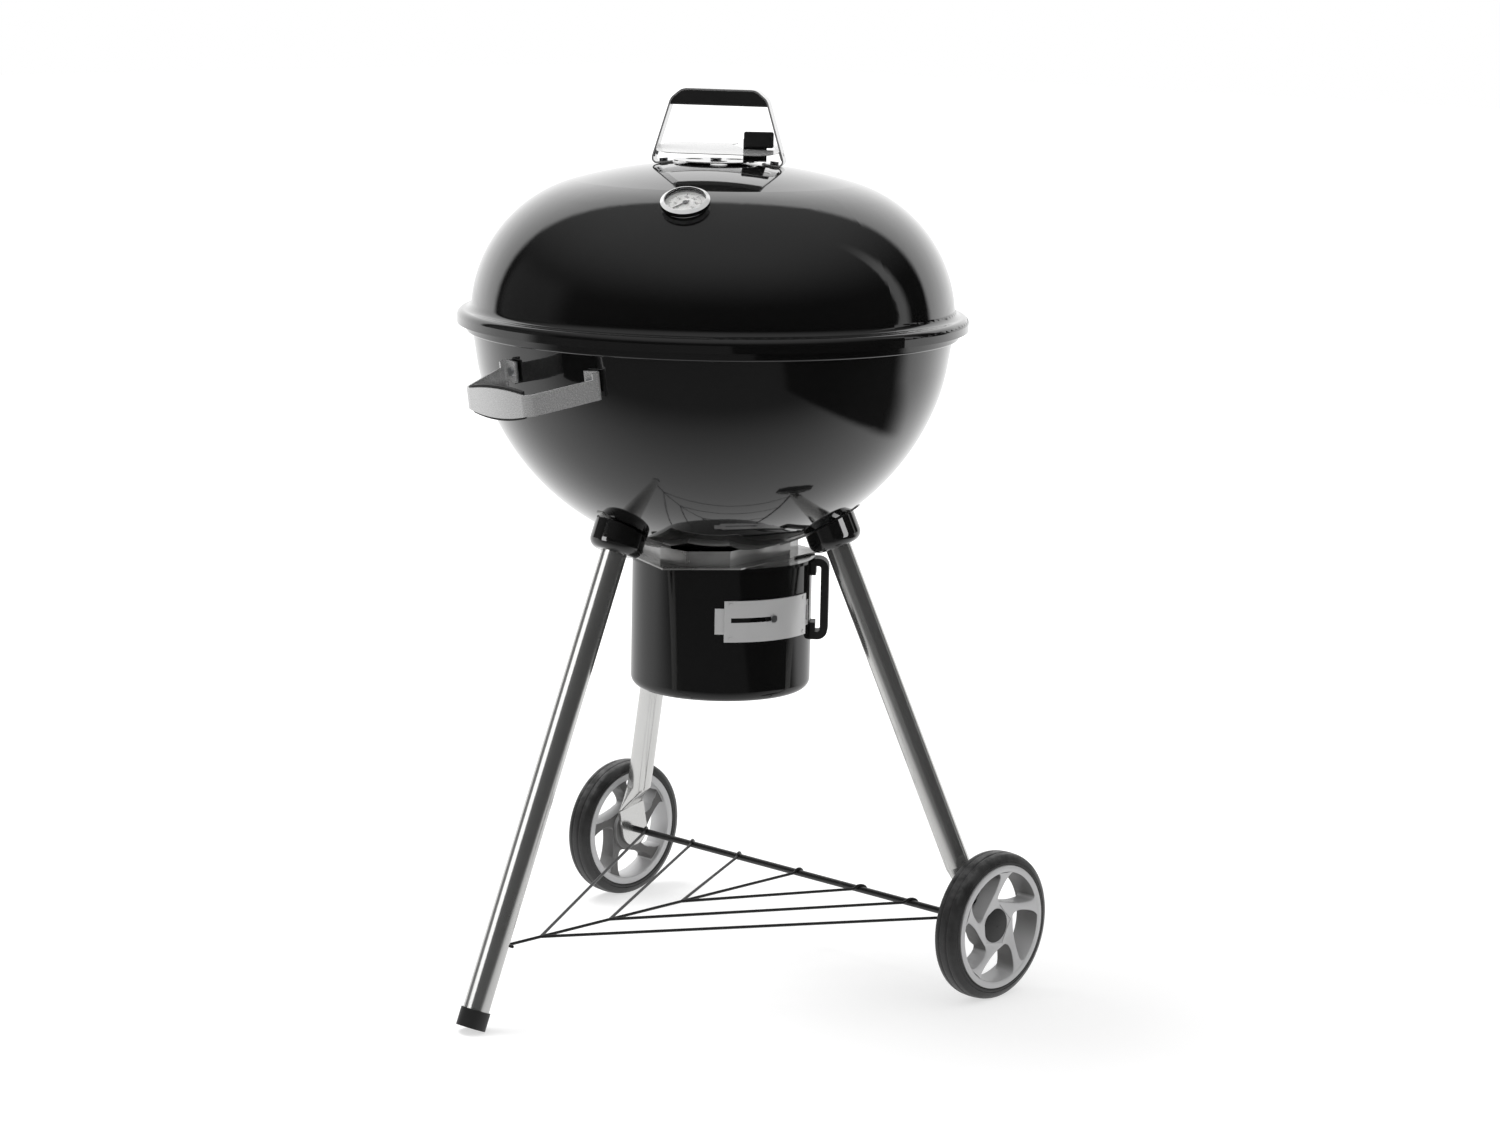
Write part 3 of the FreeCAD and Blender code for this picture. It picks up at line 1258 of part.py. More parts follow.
def make_ash_handle():
    """Moulded upright grip with two feet screwed to the ash catcher's side."""
    sink = ash_foot_sheet
    path = [V(-sink, 0, 0), V(ash_grip_reach, 0, 0), V(ash_grip_reach, ash_grip_length, 0),
            V(-sink, ash_grip_length, 0)]
    bail = bent_strip(path, [ash_grip_bend, ash_grip_bend], ash_grip_thickness, ash_grip_width)
    feet = [Part.makeBox(sink + ash_foot_sheet, ash_foot_height, ash_grip_width, V(-sink, z, 0))
            for z in (0.0, ash_grip_length - ash_foot_height)]
    bail = bail.fuse(feet).removeSplitter()
    bail.translate(V(0, 0, -ash_grip_width / 2.0))
    corner = ash_polar(ash_radius, ash_turn, ash_grip_z - ash_grip_length / 2.0)
    bail = placed(bail, corner, plan(1.0, ash_turn), plan(1.0, ash_turn - 90.0))
    wall = cylinder(ash_radius + weld_gap, 2 * ash_height, V(ash_centre.x, ash_centre.y, ash_bottom_z))
    lip = cylinder(ash_radius + ash_lip + seat_gap, ash_height,
                   V(ash_centre.x, ash_centre.y, ash_top_z - ash_lip_height - seat_gap))
    bores = at_ash_screws(cylinder(screw_radius + running_gap, ash_screw_grip + 2 * weld_gap, ORIGIN))
    return bail.cut([wall, lip] + bores)


def make_ash_handle_screws():
    """Screws from inside the bucket into the handle's feet."""
    seat = -sheet - seat_gap
    head = cylinder(ash_screw_head, 1.5 * sheet, V(0, 0, seat - 1.5 * sheet))
    shank = cylinder(screw_radius, ash_screw_grip - seat, V(0, 0, seat))
    return Part.makeCompound(at_ash_screws(head.fuse(shank).removeSplitter()))


# ---------------------------------------------------------------- wire shelf
def rod(a, b, radius):
    return cylinder(radius, (b - a).Length, a, b - a)


def make_shelf():
    """Nested V wires welded to a spine that runs from the front leg to the axle."""
    rest_z = wheel_radius + axle_radius + seat_gap + shelf_wire
    back = wheel_inset + shelf_overhang
    front_y = -(leg_point(shelf_z) - (leg_radius + shelf_wire) / math.cos(math.radians(leg_tilt)) - seat_gap)
    spine = rod(V(0, front_y, shelf_z), V(0, back, rest_z), shelf_wire)
    pieces = []
    for apex_y, end_x in zip(shelf_apexes, shelf_ends):
        share = (apex_y - front_y) / (back - front_y)
        apex_z = shelf_z + (rest_z - shelf_z) * share
        for side in (-1, 1):
            pieces.append(rod(V(0, apex_y, apex_z), V(side * end_x, back, rest_z), shelf_wire))
    cross_end = V(shelf_cross_half, front_y, shelf_z)
    pieces.append(rod(V(-shelf_cross_half, front_y, shelf_z), cross_end, shelf_wire))
    return spine.fuse(pieces)


def build():
    parts["lid_shell"] = make_lid_shell()
    parts["lid_handle_strap"] = make_lid_handle()
    parts["lid_handle_grip"] = make_grip()
    parts["lid_handle_screws"] = make_handle_screws()
    parts["lid_handle_nuts"] = make_handle_nuts()
    parts["lid_heat_shield"] = make_heat_shield()
    parts["heat_shield_rivets"] = make_shield_rivets()
    parts["lid_damper"] = make_damper()
    parts["lid_damper_lever"] = make_damper_lever()
    parts["lid_damper_tab"] = make_damper_tab()
    parts["lid_damper_rivet"] = make_damper_rivet()
    parts["thermometer_case"] = make_thermometer_case()
    parts["thermometer_dial"] = make_thermometer_dial()
    parts["thermometer_needle"] = make_thermometer_needle()
    parts["thermometer_glass"] = make_thermometer_glass()
    parts["thermometer_stem"] = make_thermometer_stem()
    parts["thermometer_nut"] = make_thermometer_nut()
    parts["bowl_shell"] = make_bowl_shell()
    for name, azimuth in (("front", side_turn), ("rear", side_turn + 180.0)):
        parts["bowl_handle_%s" % name] = make_side_strap(azimuth)
        parts["bowl_grip_%s" % name] = make_side_grip(azimuth)
    parts["bowl_handle_spacers"] = make_side_spacers()
    parts["bowl_handle_screws"] = make_side_screws()
    parts["cooking_grate"] = make_cooking_grate()
    parts["cooking_grate_brackets"] = make_grate_brackets()
    parts["charcoal_grate"] = make_charcoal_grate()
    for i, name in enumerate(leg_names):
        parts["leg_socket_%s" % name] = make_socket(leg_azimuth(i))
    parts["leg_front"] = make_front_leg()
    parts["leg_right"] = make_rear_leg(1)
    parts["leg_left"] = make_rear_leg(2)
    parts["foot_cap"] = make_foot()
    parts["bowl_frame"] = make_bowl_frame()
    parts["ash_catcher"] = make_ash_catcher()
    parts["ash_catcher_collar"] = make_ash_collar()
    parts["ash_catcher_handle"] = make_ash_handle()
    parts["ash_handle_screws"] = make_ash_handle_screws()
    parts["ash_vent_cover"] = make_vent_cover()
    parts["ash_vent_rivets"] = make_vent_rivets()
    parts["ash_vent_slide"] = make_vent_slide()
    parts["ash_vent_stud"] = make_vent_stud()
    for name, side in (("right", 1.0), ("left", -1.0)):
        parts["wheel_rim_%s" % name] = make_rim(side)
        parts["wheel_tyre_%s" % name] = make_tyre(side)
        parts["wheel_cap_%s" % name] = make_hub_cap(side)
    parts["axle"] = make_axle()
    parts["axle_washers"] = make_washers()
    parts["axle_push_nuts"] = make_push_nuts()
    parts["wire_shelf"] = make_shelf()


def export():
    """Move everything so that the origin is the centre of the footprint, and write the files."""
    whole = Part.makeCompound(list(parts.values())).optimalBoundingBox(False)
    shift = V(0, -(whole.YMin + whole.YMax) / 2.0, 0)
    os.makedirs("parts", exist_ok=True)
    for name, shape in parts.items():
        shape.translate(shift)
        shape.exportStep("parts/%s.step" % name)
    print("footprint shift in Y: %.4f" % shift.y)


build()
export()
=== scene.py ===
"""Looks of the kettle charcoal grill: finishes for every part, the small pieces that the solids
leave out, a pale studio and the camera.  Metres, in the solids' own frame.
"""
import math

import bmesh
import bpy
from mathutils import Matrix, Vector


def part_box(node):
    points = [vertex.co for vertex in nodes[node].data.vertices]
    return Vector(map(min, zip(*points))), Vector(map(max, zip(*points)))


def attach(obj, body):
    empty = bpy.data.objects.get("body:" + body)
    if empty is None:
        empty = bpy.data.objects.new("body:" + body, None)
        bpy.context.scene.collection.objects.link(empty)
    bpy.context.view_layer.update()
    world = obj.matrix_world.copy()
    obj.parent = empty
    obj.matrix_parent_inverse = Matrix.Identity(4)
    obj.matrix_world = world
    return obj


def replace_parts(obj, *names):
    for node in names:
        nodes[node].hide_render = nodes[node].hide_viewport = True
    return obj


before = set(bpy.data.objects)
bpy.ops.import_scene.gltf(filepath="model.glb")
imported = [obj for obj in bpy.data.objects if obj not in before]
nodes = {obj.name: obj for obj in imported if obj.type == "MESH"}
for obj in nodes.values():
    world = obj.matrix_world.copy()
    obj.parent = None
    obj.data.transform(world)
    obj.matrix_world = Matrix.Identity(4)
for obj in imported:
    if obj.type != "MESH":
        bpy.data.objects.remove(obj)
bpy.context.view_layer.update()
bowl_low, bowl_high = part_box("bowl_shell")
axis_y = (bowl_low.y + bowl_high.y) / 2  # the upright axis of the bowl and lid
UP = Vector((0, 0, 1))
LEVEL = (1.0, 0.0, 0.0)  # the way that level brushing runs


# ---------------------------------------------------------------- shader expressions
class Wire:
    """A socket that takes part in arithmetic; each operation adds its Math node."""

    def __init__(self, shade, socket):
        self.shade = shade
        self.socket = socket

    def math(self, operation, *values):
        return self.shade.node("ShaderNodeMath", {"operation": operation}, *values)

    def __add__(self, other):
        return self.math("ADD", self, other)

    def __radd__(self, other):
        return self.math("ADD", other, self)

    def __sub__(self, other):
        return self.math("SUBTRACT", self, other)

    def __rsub__(self, other):
        return self.math("SUBTRACT", other, self)

    def __mul__(self, other):
        return self.math("MULTIPLY", self, other)

    def __rmul__(self, other):
        return self.math("MULTIPLY", other, self)

    def __abs__(self):
        return self.math("ABSOLUTE", self)

    def ramp(self, start, end):
        """0 before start, 1 after end, smooth between."""
        return self.shade.node("ShaderNodeMapRange", {"interpolation_type": "SMOOTHSTEP"},
                               self, start, end, 0.0, 1.0)


class Shade:
    """A node tree written as expressions."""

    def __init__(self, tree):
        self.tree = tree
        tree.nodes.clear()

    def node(self, kind, settings=None, *values, out=0, **named):
        """Adds a node: its settings first, then its sockets in order or by name."""
        node = self.tree.nodes.new(kind)
        for key, value in (settings or {}).items():
            setattr(node, key, value)
        for key, value in list(enumerate(values)) + list(named.items()):
            if isinstance(key, str):
                key = key.replace("_", " ")
                socket = next(s for s in node.inputs
                              if key in (s.name, s.identifier.replace("_", " ")))
            else:
                socket = node.inputs[key]
            if isinstance(value, Wire):
                self.tree.links.new(value.socket, socket)
            else:
                socket.default_value = value
        if not node.outputs:
            return node
        return Wire(self, node.outputs[out])

    def vector(self, operation, *values, out=0, **named):
        return self.node("ShaderNodeVectorMath", {"operation": operation}, *values, out=out,
                         **named)

    def dot(self, first, second):
        return self.vector("DOT_PRODUCT", first, second, out="Value")

    def length(self, arm):
        return self.vector("LENGTH", arm, out="Value")

    def place(self):
        return self.node("ShaderNodeTexCoord", out="Object")

    def blend(self, mask, first, second):
        """Colour that goes from first to second as mask goes from 0 to 1."""
        return self.node("ShaderNodeMix", {"data_type": "RGBA"}, out=2,
                         Factor_Float=mask, A_Color=first, B_Color=second)

    def shader_mix(self, mask, first, second):
        """Shader that goes from first to second as mask goes from 0 to 1."""
        return self.node("ShaderNodeMixShader", None, mask, first, second)

    def emission(self, level):
        return self.node("ShaderNodeEmission", None, Color=grey(level), Strength=1.0)

    def noise(self, at, scale, detail=2.0, roughness=0.5):
        return self.node("ShaderNodeTexNoise", None, Vector=at, Scale=scale, Detail=detail,
                         Roughness=roughness)

    def along(self, at, direction, squeeze):
        """The place with its run along a direction squeezed, so that noise draws out into grain."""
        run = self.dot(at, direction)
        short = self.vector("SCALE", direction, Scale=run * (1.0 - squeeze))
        return self.vector("SUBTRACT", at, short)

    def facing(self, direction):
        """How far the surface faces a direction: 1 square on, 0 side on, -1 turned away."""
        return self.dot(self.node("ShaderNodeNewGeometry", out="Normal"), direction)

    def bump(self, height, strength, distance):
        return self.node("ShaderNodeBump", None, Strength=strength, Distance=distance,
                         Height=height)


def finish(name, dress, **fixed):
    """A material: dress(shade) gives the sockets that vary, fixed gives the constant ones."""
    material = bpy.data.materials.new(name)
    material.use_nodes = True
    shade = Shade(material.node_tree)
    sockets = {**fixed, **dress(shade)}
    shader = shade.node("ShaderNodeBsdfPrincipled", None, **sockets)
    shade.node("ShaderNodeOutputMaterial", None, Surface=shader)
    return material


def grey(level, alpha=1.0):
    return (level, level, level, alpha)


def middle(node):
    low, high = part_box(node)
    return (low + high) / 2


# ---------------------------------------------------------------- finishes
def fired_enamel(s):
    """Vitreous enamel: near black, glassy, with the slight orange peel of a fired coat."""
    at = s.place()
    cloud = s.noise(at, 9.0, 3.0)
    specks = s.noise(at, 1400.0, 1.0).ramp(0.62, 0.74)
    peel = s.noise(at, 150.0, 2.0) + s.noise(at, 620.0, 1.0) * 0.25
    return {
        "Base_Color": s.blend(specks * 0.5, s.blend(cloud, grey(0.0035), grey(0.0065)),
                              grey(0.02)),
        "Roughness": 0.035 + cloud * 0.035 + specks * 0.08,
        "Normal": s.bump(peel, 0.25, 0.00006),
    }


def kettle_enamel(s):
    """The same enamel on the kettle, with a clear coat that comes in towards its outlines, where
    fired enamel shines most."""
    edge = s.node("ShaderNodeLayerWeight", None, Blend=0.5, out="Facing")
    return {**fired_enamel(s), "Coat_Weight": edge.ramp(0.42, 0.92)}


def tube_steel(direction):
    """Polished tube: fine drawn grain along the tube, a few longer scratches."""
    def dress(s):
        at = s.place()
        drawn = s.along(at, direction, 0.012)
        grain = s.noise(drawn, 1500.0, 2.0)
        scratches = s.noise(s.along(at, direction, 0.004), 420.0, 3.0).ramp(0.6, 0.78)
        stain = s.noise(at, 11.0, 3.0)
        return {
            "Base_Color": s.blend(stain, (0.60, 0.595, 0.58, 1.0), (0.72, 0.72, 0.715, 1.0)),
            "Roughness": 0.12 + grain * 0.08 + scratches * 0.08 + stain * 0.03,
            "Normal": s.bump(grain + scratches * 0.6, 0.16, 0.00005),
        }
    return dress


def brushed_steel(direction, level=0.62, rough=0.26):
    """Satin sheet: brushed one way, with the odd heavier line."""
    def dress(s):
        at = s.place()
        brushed = s.along(at, direction, 0.015)
        grain = s.noise(brushed, 2200.0, 3.0, 0.65)
        lines = s.noise(brushed, 700.0, 1.0).ramp(0.58, 0.72)
        cloud = s.noise(at, 22.0, 3.0)
        return {
            "Base_Color": s.blend(grain * 0.6 + cloud * 0.4, grey(level * 0.86),
                                  grey(level * 1.08)),
            "Roughness": rough - 0.05 + grain * 0.12 + lines * 0.08,
            "Normal": s.bump(grain + lines * 0.5, 0.22, 0.00006),
        }
    return dress


def bright_plate(s):
    """Bright chromium plate: a mirror with faint polishing waves and fingerprints."""
    at = s.place()
    waves = s.noise(at, 60.0, 2.0)
    prints = s.noise(at, 26.0, 4.0, 0.6).ramp(0.5, 0.75)
    return {
        "Base_Color": s.blend(prints, grey(0.80), grey(0.73)),
        "Roughness": 0.05 + prints * 0.09,
        "Normal": s.bump(waves + s.noise(at, 900.0, 1.0) * 0.1, 0.12, 0.0001),
    }


def zinc_plate(s):
    """Zinc-plated fastener: bluish grey with a fine crystalline break-up."""
    at = s.place()
    crystals = s.node("ShaderNodeTexVoronoi", {"feature": "F1"}, Vector=at, Scale=900.0)
    cloud = s.noise(at, 160.0, 3.0)
    return {
        "Base_Color": s.blend(cloud, (0.46, 0.47, 0.49, 1.0), (0.63, 0.64, 0.65, 1.0)),
        "Roughness": 0.24 + cloud * 0.14,
        "Normal": s.bump(crystals, 0.1, 0.00008),
    }


def grate_wire(s):
    """Nickel-plated cooking wire: bright, a little warm where heat has coloured it."""
    at = s.place()
    heat = s.noise(at, 18.0, 3.0).ramp(0.42, 0.7)
    grain = s.noise(at, 1300.0, 2.0)
    return {
        "Base_Color": s.blend(heat, (0.62, 0.62, 0.62, 1.0), (0.55, 0.50, 0.44, 1.0)),
        "Roughness": 0.2 + heat * 0.12 + grain * 0.06,
        "Normal": s.bump(grain, 0.15, 0.00005),
    }


def frame_plate(s):
    """Pressed steel of the frame: dull plate with drawing marks and darker stains."""
    at = s.place()
    spangle = s.node("ShaderNodeTexVoronoi", {"feature": "F1"}, Vector=at, Scale=150.0)
    marks = s.noise(s.along(at, tuple(UP), 0.05), 260.0, 2.0)
    stain = s.noise(at, 14.0, 4.0).ramp(0.4, 0.7)
    return {
        "Base_Color": s.blend(stain, (0.40, 0.40, 0.395, 1.0), (0.24, 0.235, 0.23, 1.0)),
        "Roughness": 0.14 + stain * 0.12 + marks * 0.06,
        "Normal": s.bump(marks + spangle * 0.15, 0.2, 0.0001),
    }


def black_grip(s):
    """Moulded phenolic: pebbled black with slightly shinier high spots."""
    at = s.place()
    pebbles = s.node("ShaderNodeTexVoronoi", {"feature": "SMOOTH_F1"}, Vector=at, Scale=1100.0)
    cloud = s.noise(at, 40.0, 3.0)
    return {
        "Base_Color": s.blend(cloud, grey(0.012), grey(0.021)),
        "Roughness": 0.36 + cloud * 0.12 + pebbles * 0.1,
        "Normal": s.bump(pebbles, 0.3, 0.0001),
    }


def wheel_plastic(side_name, ring_grime):
    """Silver-grey moulded plastic: fine pigment flake and soft flow lines.  Painted shade has
    darkened the spokes' backs and the walls of the openings, least where they turn up, and the
    ring's wall by the share that the second argument gives."""
    centre = tuple(middle(f"wheel_rim_{side_name}"))
    outward = (math.copysign(1.0, centre[0]), 0.0, 0.0)

    def dress(s):
        at = s.place()
        flake = s.noise(at, 3200.0, 1.0)
        flow = s.noise(at, 16.0, 3.0, 0.6)
        texture = s.noise(at, 1500.0, 2.0)
        arm = s.vector("MULTIPLY", s.vector("SUBTRACT", at, centre), (0.0, 1.0, 1.0))
        ring = s.length(arm).ramp(0.0632, 0.0642)  # the ring starts 64 mm from the axle
        square = s.facing(outward)
        turned_up = s.facing(tuple(UP)).ramp(0.0, 0.6) * 0.85
        wall = (1.0 - abs(square).ramp(0.3, 0.8)) * (1.0 - turned_up)
        back = (square * -1.0).ramp(0.4, 0.8) * (1.0 - ring)
        # painted shade: the walls of the openings and the spokes' backs are coloured darker to stand
        # in for shade
        painted_shade = (wall * (1.0 - ring * (1.0 - ring_grime)) + back) * (0.78 + flow * 0.2)
        unshaded = s.blend(flake * 0.5 + flow * 0.5, (0.54, 0.54, 0.545, 1.0),
                        (0.67, 0.67, 0.675, 1.0))
        return {
            "Base_Color": s.blend(painted_shade, unshaded, (0.085, 0.083, 0.08, 1.0)),
            "Roughness": 0.32 + flow * 0.1 + texture * 0.06 + painted_shade * 0.15,
            "Metallic": 0.1 + flake * 0.15,
            "Normal": s.bump(texture, 0.18, 0.0001),
        }
    return dress


def tyre_rubber(s):
    """Moulded rubber: dark grey with a bloom and a fine grain, scuffed, with painted top light in
    blotches on its top.
    """
    at = s.place()
    bloom = s.noise(at, 28.0, 4.0, 0.6).ramp(0.38, 0.72)
    scuff = s.noise(at, 75.0, 4.0, 0.7)
    grain = s.noise(at, 1900.0, 3.0, 0.6)
    # painted top light: faces turned up are lightened in blotches
    painted_top_light = s.facing(tuple(UP)).ramp(0.1, 1.0) * scuff.ramp(0.3, 0.7)
    return {
        "Base_Color": s.blend(painted_top_light * 0.8, s.blend(bloom, grey(0.017), grey(0.036)), grey(0.13)),
        "Roughness": 0.34 + bloom * 0.18 + grain * 0.08,
        "Normal": s.bump(scuff * 3.0 + grain * 0.3, 0.35, 0.0006),
    }


def black_paint(s):
    """Powder coat on wire: satin black with a fine texture, rubbed a little at high spots."""
    at = s.place()
    texture = s.noise(at, 1500.0, 2.0)
    rub = s.noise(at, 90.0, 3.0).ramp(0.6, 0.8)
    return {
        "Base_Color": s.blend(rub, grey(0.012), grey(0.05)),
        "Roughness": 0.3 + texture * 0.14 - rub * 0.06,
        "Normal": s.bump(texture, 0.3, 0.00012),
    }


def slide_steel(s):
    """The vent's slide: brushed at its two ends, with painted shade between them, where the cover
    hides it.
    """
    bucket = middle("ash_catcher")
    outwards = middle("ash_vent_slide") - bucket
    outwards.z = 0.0
    arm = s.vector("MULTIPLY", s.vector("SUBTRACT", s.place(), tuple(bucket)), (1.0, 1.0, 0.0))
    round_bucket = s.dot(s.vector("NORMALIZE", arm), tuple(outwards.normalized()))
    # the cover hides the slide up to about 32 degrees round the bucket, each way
    bare, hidden = (math.cos(math.radians(turn)) for turn in (32.4, 31.8))
    # painted shade: where the cover hides the slide it is coloured near black
    painted_shade_under_cover = round_bucket.ramp(bare, hidden)
    brushed = brushed_steel(LEVEL, 0.72, 0.3)(s)
    return {**brushed, "Base_Color": s.blend(painted_shade_under_cover, brushed["Base_Color"], grey(0.012))}


def bezel_plate(s):
    """Bright plate on the thermometer's ring, with painted shade down the side of its case."""
    out = tuple((middle("thermometer_glass") - middle("thermometer_dial")).normalized())
    bright = bright_plate(s)
    # painted shade: the case's side is coloured near black
    side_on = 1.0 - abs(s.facing(out)).ramp(0.1, 0.3)
    return {**bright, "Base_Color": s.blend(side_on, bright["Base_Color"], grey(0.02)),
            "Metallic": 0.3 + side_on * 0.5}


def dial_paint(s):
    """Printed white dial: faint paper-like mottling."""
    at = s.place()
    mottle = s.noise(at, 420.0, 3.0)
    return {
        "Base_Color": s.blend(mottle, (0.80, 0.80, 0.78, 1.0), (0.87, 0.87, 0.86, 1.0)),
        "Roughness": 0.42 + mottle * 0.1,
        "Normal": s.bump(mottle, 0.08, 0.00008),
    }


def clear_glass(s):
    """Flat instrument glass with a trace of smear."""
    smear = s.noise(s.place(), 55.0, 3.0).ramp(0.45, 0.8)
    return {"Base_Color": s.blend(smear, grey(0.97), grey(0.93)), "Roughness": smear * 0.05}


def leg_run(node):
    """Direction of a leg, from the middle of its lower end to that of its upper end."""
    points = [v.co for v in nodes[node].data.vertices]
    low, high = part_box(node)
    tall = high.z - low.z
    ends = []
    for start, stop in ((low.z, low.z + 0.1 * tall), (high.z - 0.1 * tall, high.z)):
        end = [p for p in points if start <= p.z <= stop]
        ends.append(sum(end, Vector()) / len(end))
    return tuple((ends[1] - ends[0]).normalized())


slide_finish = finish("blackened_slide", slide_steel, Metallic=0.4)
enamel = finish("black_enamel", kettle_enamel, IOR=1.7, Coat_IOR=2.1, Coat_Roughness=0.03)
bucket_enamel = finish("bucket_enamel", fired_enamel, IOR=1.5)
chrome = finish("bright_chrome", bright_plate, Metallic=0.85)
zinc = finish("zinc_plate", zinc_plate, Metallic=1.0)
nickel = finish("nickel_wire", grate_wire, Metallic=1.0)
pressed = finish("pressed_plate", frame_plate, Metallic=0.6)
grip = finish("black_grip", black_grip)
silver_right = finish("wheel_plastic_right", wheel_plastic("right", 0.9))
silver_left = finish("wheel_plastic_left", wheel_plastic("left", 0.0))
bezel = finish("bright_bezel", bezel_plate)
rubber = finish("tyre_rubber", tyre_rubber)
painted = finish("black_powder_coat", black_paint)
dial = finish("dial_white", dial_paint)
glass = finish("clear_glass", clear_glass, Transmission_Weight=1.0, IOR=1.46)
handle_steel = finish("brushed_handle", brushed_steel(LEVEL, 0.66), Metallic=0.6)
vent_steel = finish("brushed_vent", brushed_steel(LEVEL, 0.72, 0.3), Metallic=0.4)
shield_steel = finish("brushed_shield", brushed_steel(LEVEL, 0.84, 0.16), Metallic=0.7)

dressed = {
    "lid_shell": enamel, "bowl_shell": enamel, "ash_catcher": bucket_enamel,
    "ash_vent_rivets": vent_steel, "leg_socket_front": enamel, "leg_socket_right": enamel,
    "leg_socket_left": enamel, "lid_handle_strap": chrome,
    "lid_heat_shield": shield_steel, "lid_damper": chrome, "thermometer_case": bezel,
    "thermometer_glass": glass, "thermometer_dial": dial, "thermometer_needle": painted,
    "lid_handle_grip": grip, "lid_damper_tab": grip, "lid_damper_lever": painted,
    "bowl_grip_front": grip, "bowl_grip_rear": grip, "ash_catcher_handle": grip, "foot_cap": grip,
    "wheel_cap_right": grip, "wheel_cap_left": grip, "wheel_rim_right": silver_right,
    "wheel_rim_left": silver_left, "wheel_tyre_right": rubber, "wheel_tyre_left": rubber,
    "wire_shelf": painted, "axle": painted, "cooking_grate": nickel, "charcoal_grate": nickel,
    "bowl_frame": pressed, "ash_catcher_collar": pressed, "bowl_handle_front": handle_steel,
    "bowl_handle_rear": handle_steel, "ash_vent_cover": vent_steel, "ash_vent_slide": slide_finish,
}
for name, part in nodes.items():
    material = dressed.get(name, zinc)
    if name.startswith("leg_") and "socket" not in name:
        material = finish(f"tube_steel_{name}", tube_steel(leg_run(name)), Metallic=0.9)
    part.data.materials.clear()
    part.data.materials.append(material)


# ---------------------------------------------------------------- small pieces
def add_mesh(name, bm, material, body, sharp=32.0):
    """Puts a bmesh in the scene as a smooth piece that rides on a body."""
    bmesh.ops.recalc_face_normals(bm, faces=bm.faces)
    mesh = bpy.data.meshes.new(name)
    bm.to_mesh(mesh)
    bm.free()
    for face in mesh.polygons:
        face.use_smooth = True
    mesh.set_sharp_from_angle(angle=math.radians(sharp))
    mesh.materials.append(material)
    piece = bpy.data.objects.new(name, mesh)
    bpy.context.scene.collection.objects.link(piece)
    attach(piece, body)
    return piece


def bend(centre, radius, start, end, count):
    """Points of an arc in a profile; angles in degrees from outwards towards up."""
    turns = [math.radians(start + (end - start) * i / count) for i in range(count + 1)]
    return [(centre[0] + radius * math.cos(t), centre[1] + radius * math.sin(t)) for t in turns]


def lathe(profile, steps, place):
    """Closed profile of (radius, height) turned about Z, then put in place."""
    bm = bmesh.new()
    rings = []
    for i in range(steps):
        turn = 2 * math.pi * i / steps
        rings.append([bm.verts.new((r * math.cos(turn), r * math.sin(turn), z)) for r, z in profile])
    for i, ring in enumerate(rings):
        following = rings[(i + 1) % steps]
        for j in range(len(profile)):
            k = (j + 1) % len(profile)
            bm.faces.new((ring[j], following[j], following[k], ring[k]))
    bm.transform(place)
    return bm


def make_bowl():
    """Bowl with the short upright neck that its lid hangs round, and its inward roll."""
    # A lower arc on the axis runs into a shoulder arc, whose centre is offset from the axis and
    # which ends leaning out by lean degrees.
    radius, shoulder, offset, shoulder_z, lean, sheet = 0.279, 0.2256, 0.0495, 0.7663, 8.9, 0.0012
    join = -math.degrees(math.acos(offset / (radius - shoulder)))
    centre_z = shoulder_z - (radius - shoulder) * math.sin(math.radians(join))
    rim, roll = (bowl_high.x - bowl_low.x) / 2, 0.007
    roll_z = bowl_high.z - roll
    neck, neck_z, neck_bend, step = 0.2846, 0.7632, 0.0022, 0.0012
    cove, cove_drop, lip, lip_drop = 0.0016, 0.0075, 0.003, 0.0035
    ash_hole = 0.062

    def side_of(inset):
        opening = -90.0 + math.degrees(math.asin(ash_hole / (radius - inset)))
        wall = bend((offset, shoulder_z), shoulder - inset, join, -lean, 40)
        knee_r, knee_z = wall[-1]
        step_r = knee_r + (neck_z + inset - step - knee_z) * math.tan(math.radians(lean))
        return (bend((0, centre_z), radius - inset, opening, join, 60) + wall[1:]
                + [(step_r, neck_z + inset - step)]
                + bend((neck - neck_bend, neck_z + neck_bend), neck_bend - inset, -88.0, 0.0, 6)
                + bend((neck + cove, roll_z - cove_drop), cove + inset, 180.0, 100.0, 5)
                + bend((rim - lip, roll_z - lip_drop), lip - inset, -80.0, 0.0, 5)
                + bend((rim - roll, roll_z), roll - inset, 0.0, 180.0, 24))

    profile = side_of(0.0) + side_of(sheet)[::-1]
    bm = lathe(profile, 256, Matrix.Translation((0, axis_y, 0)))
    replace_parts(add_mesh("bowl", bm, enamel, "stand"), "bowl_shell")


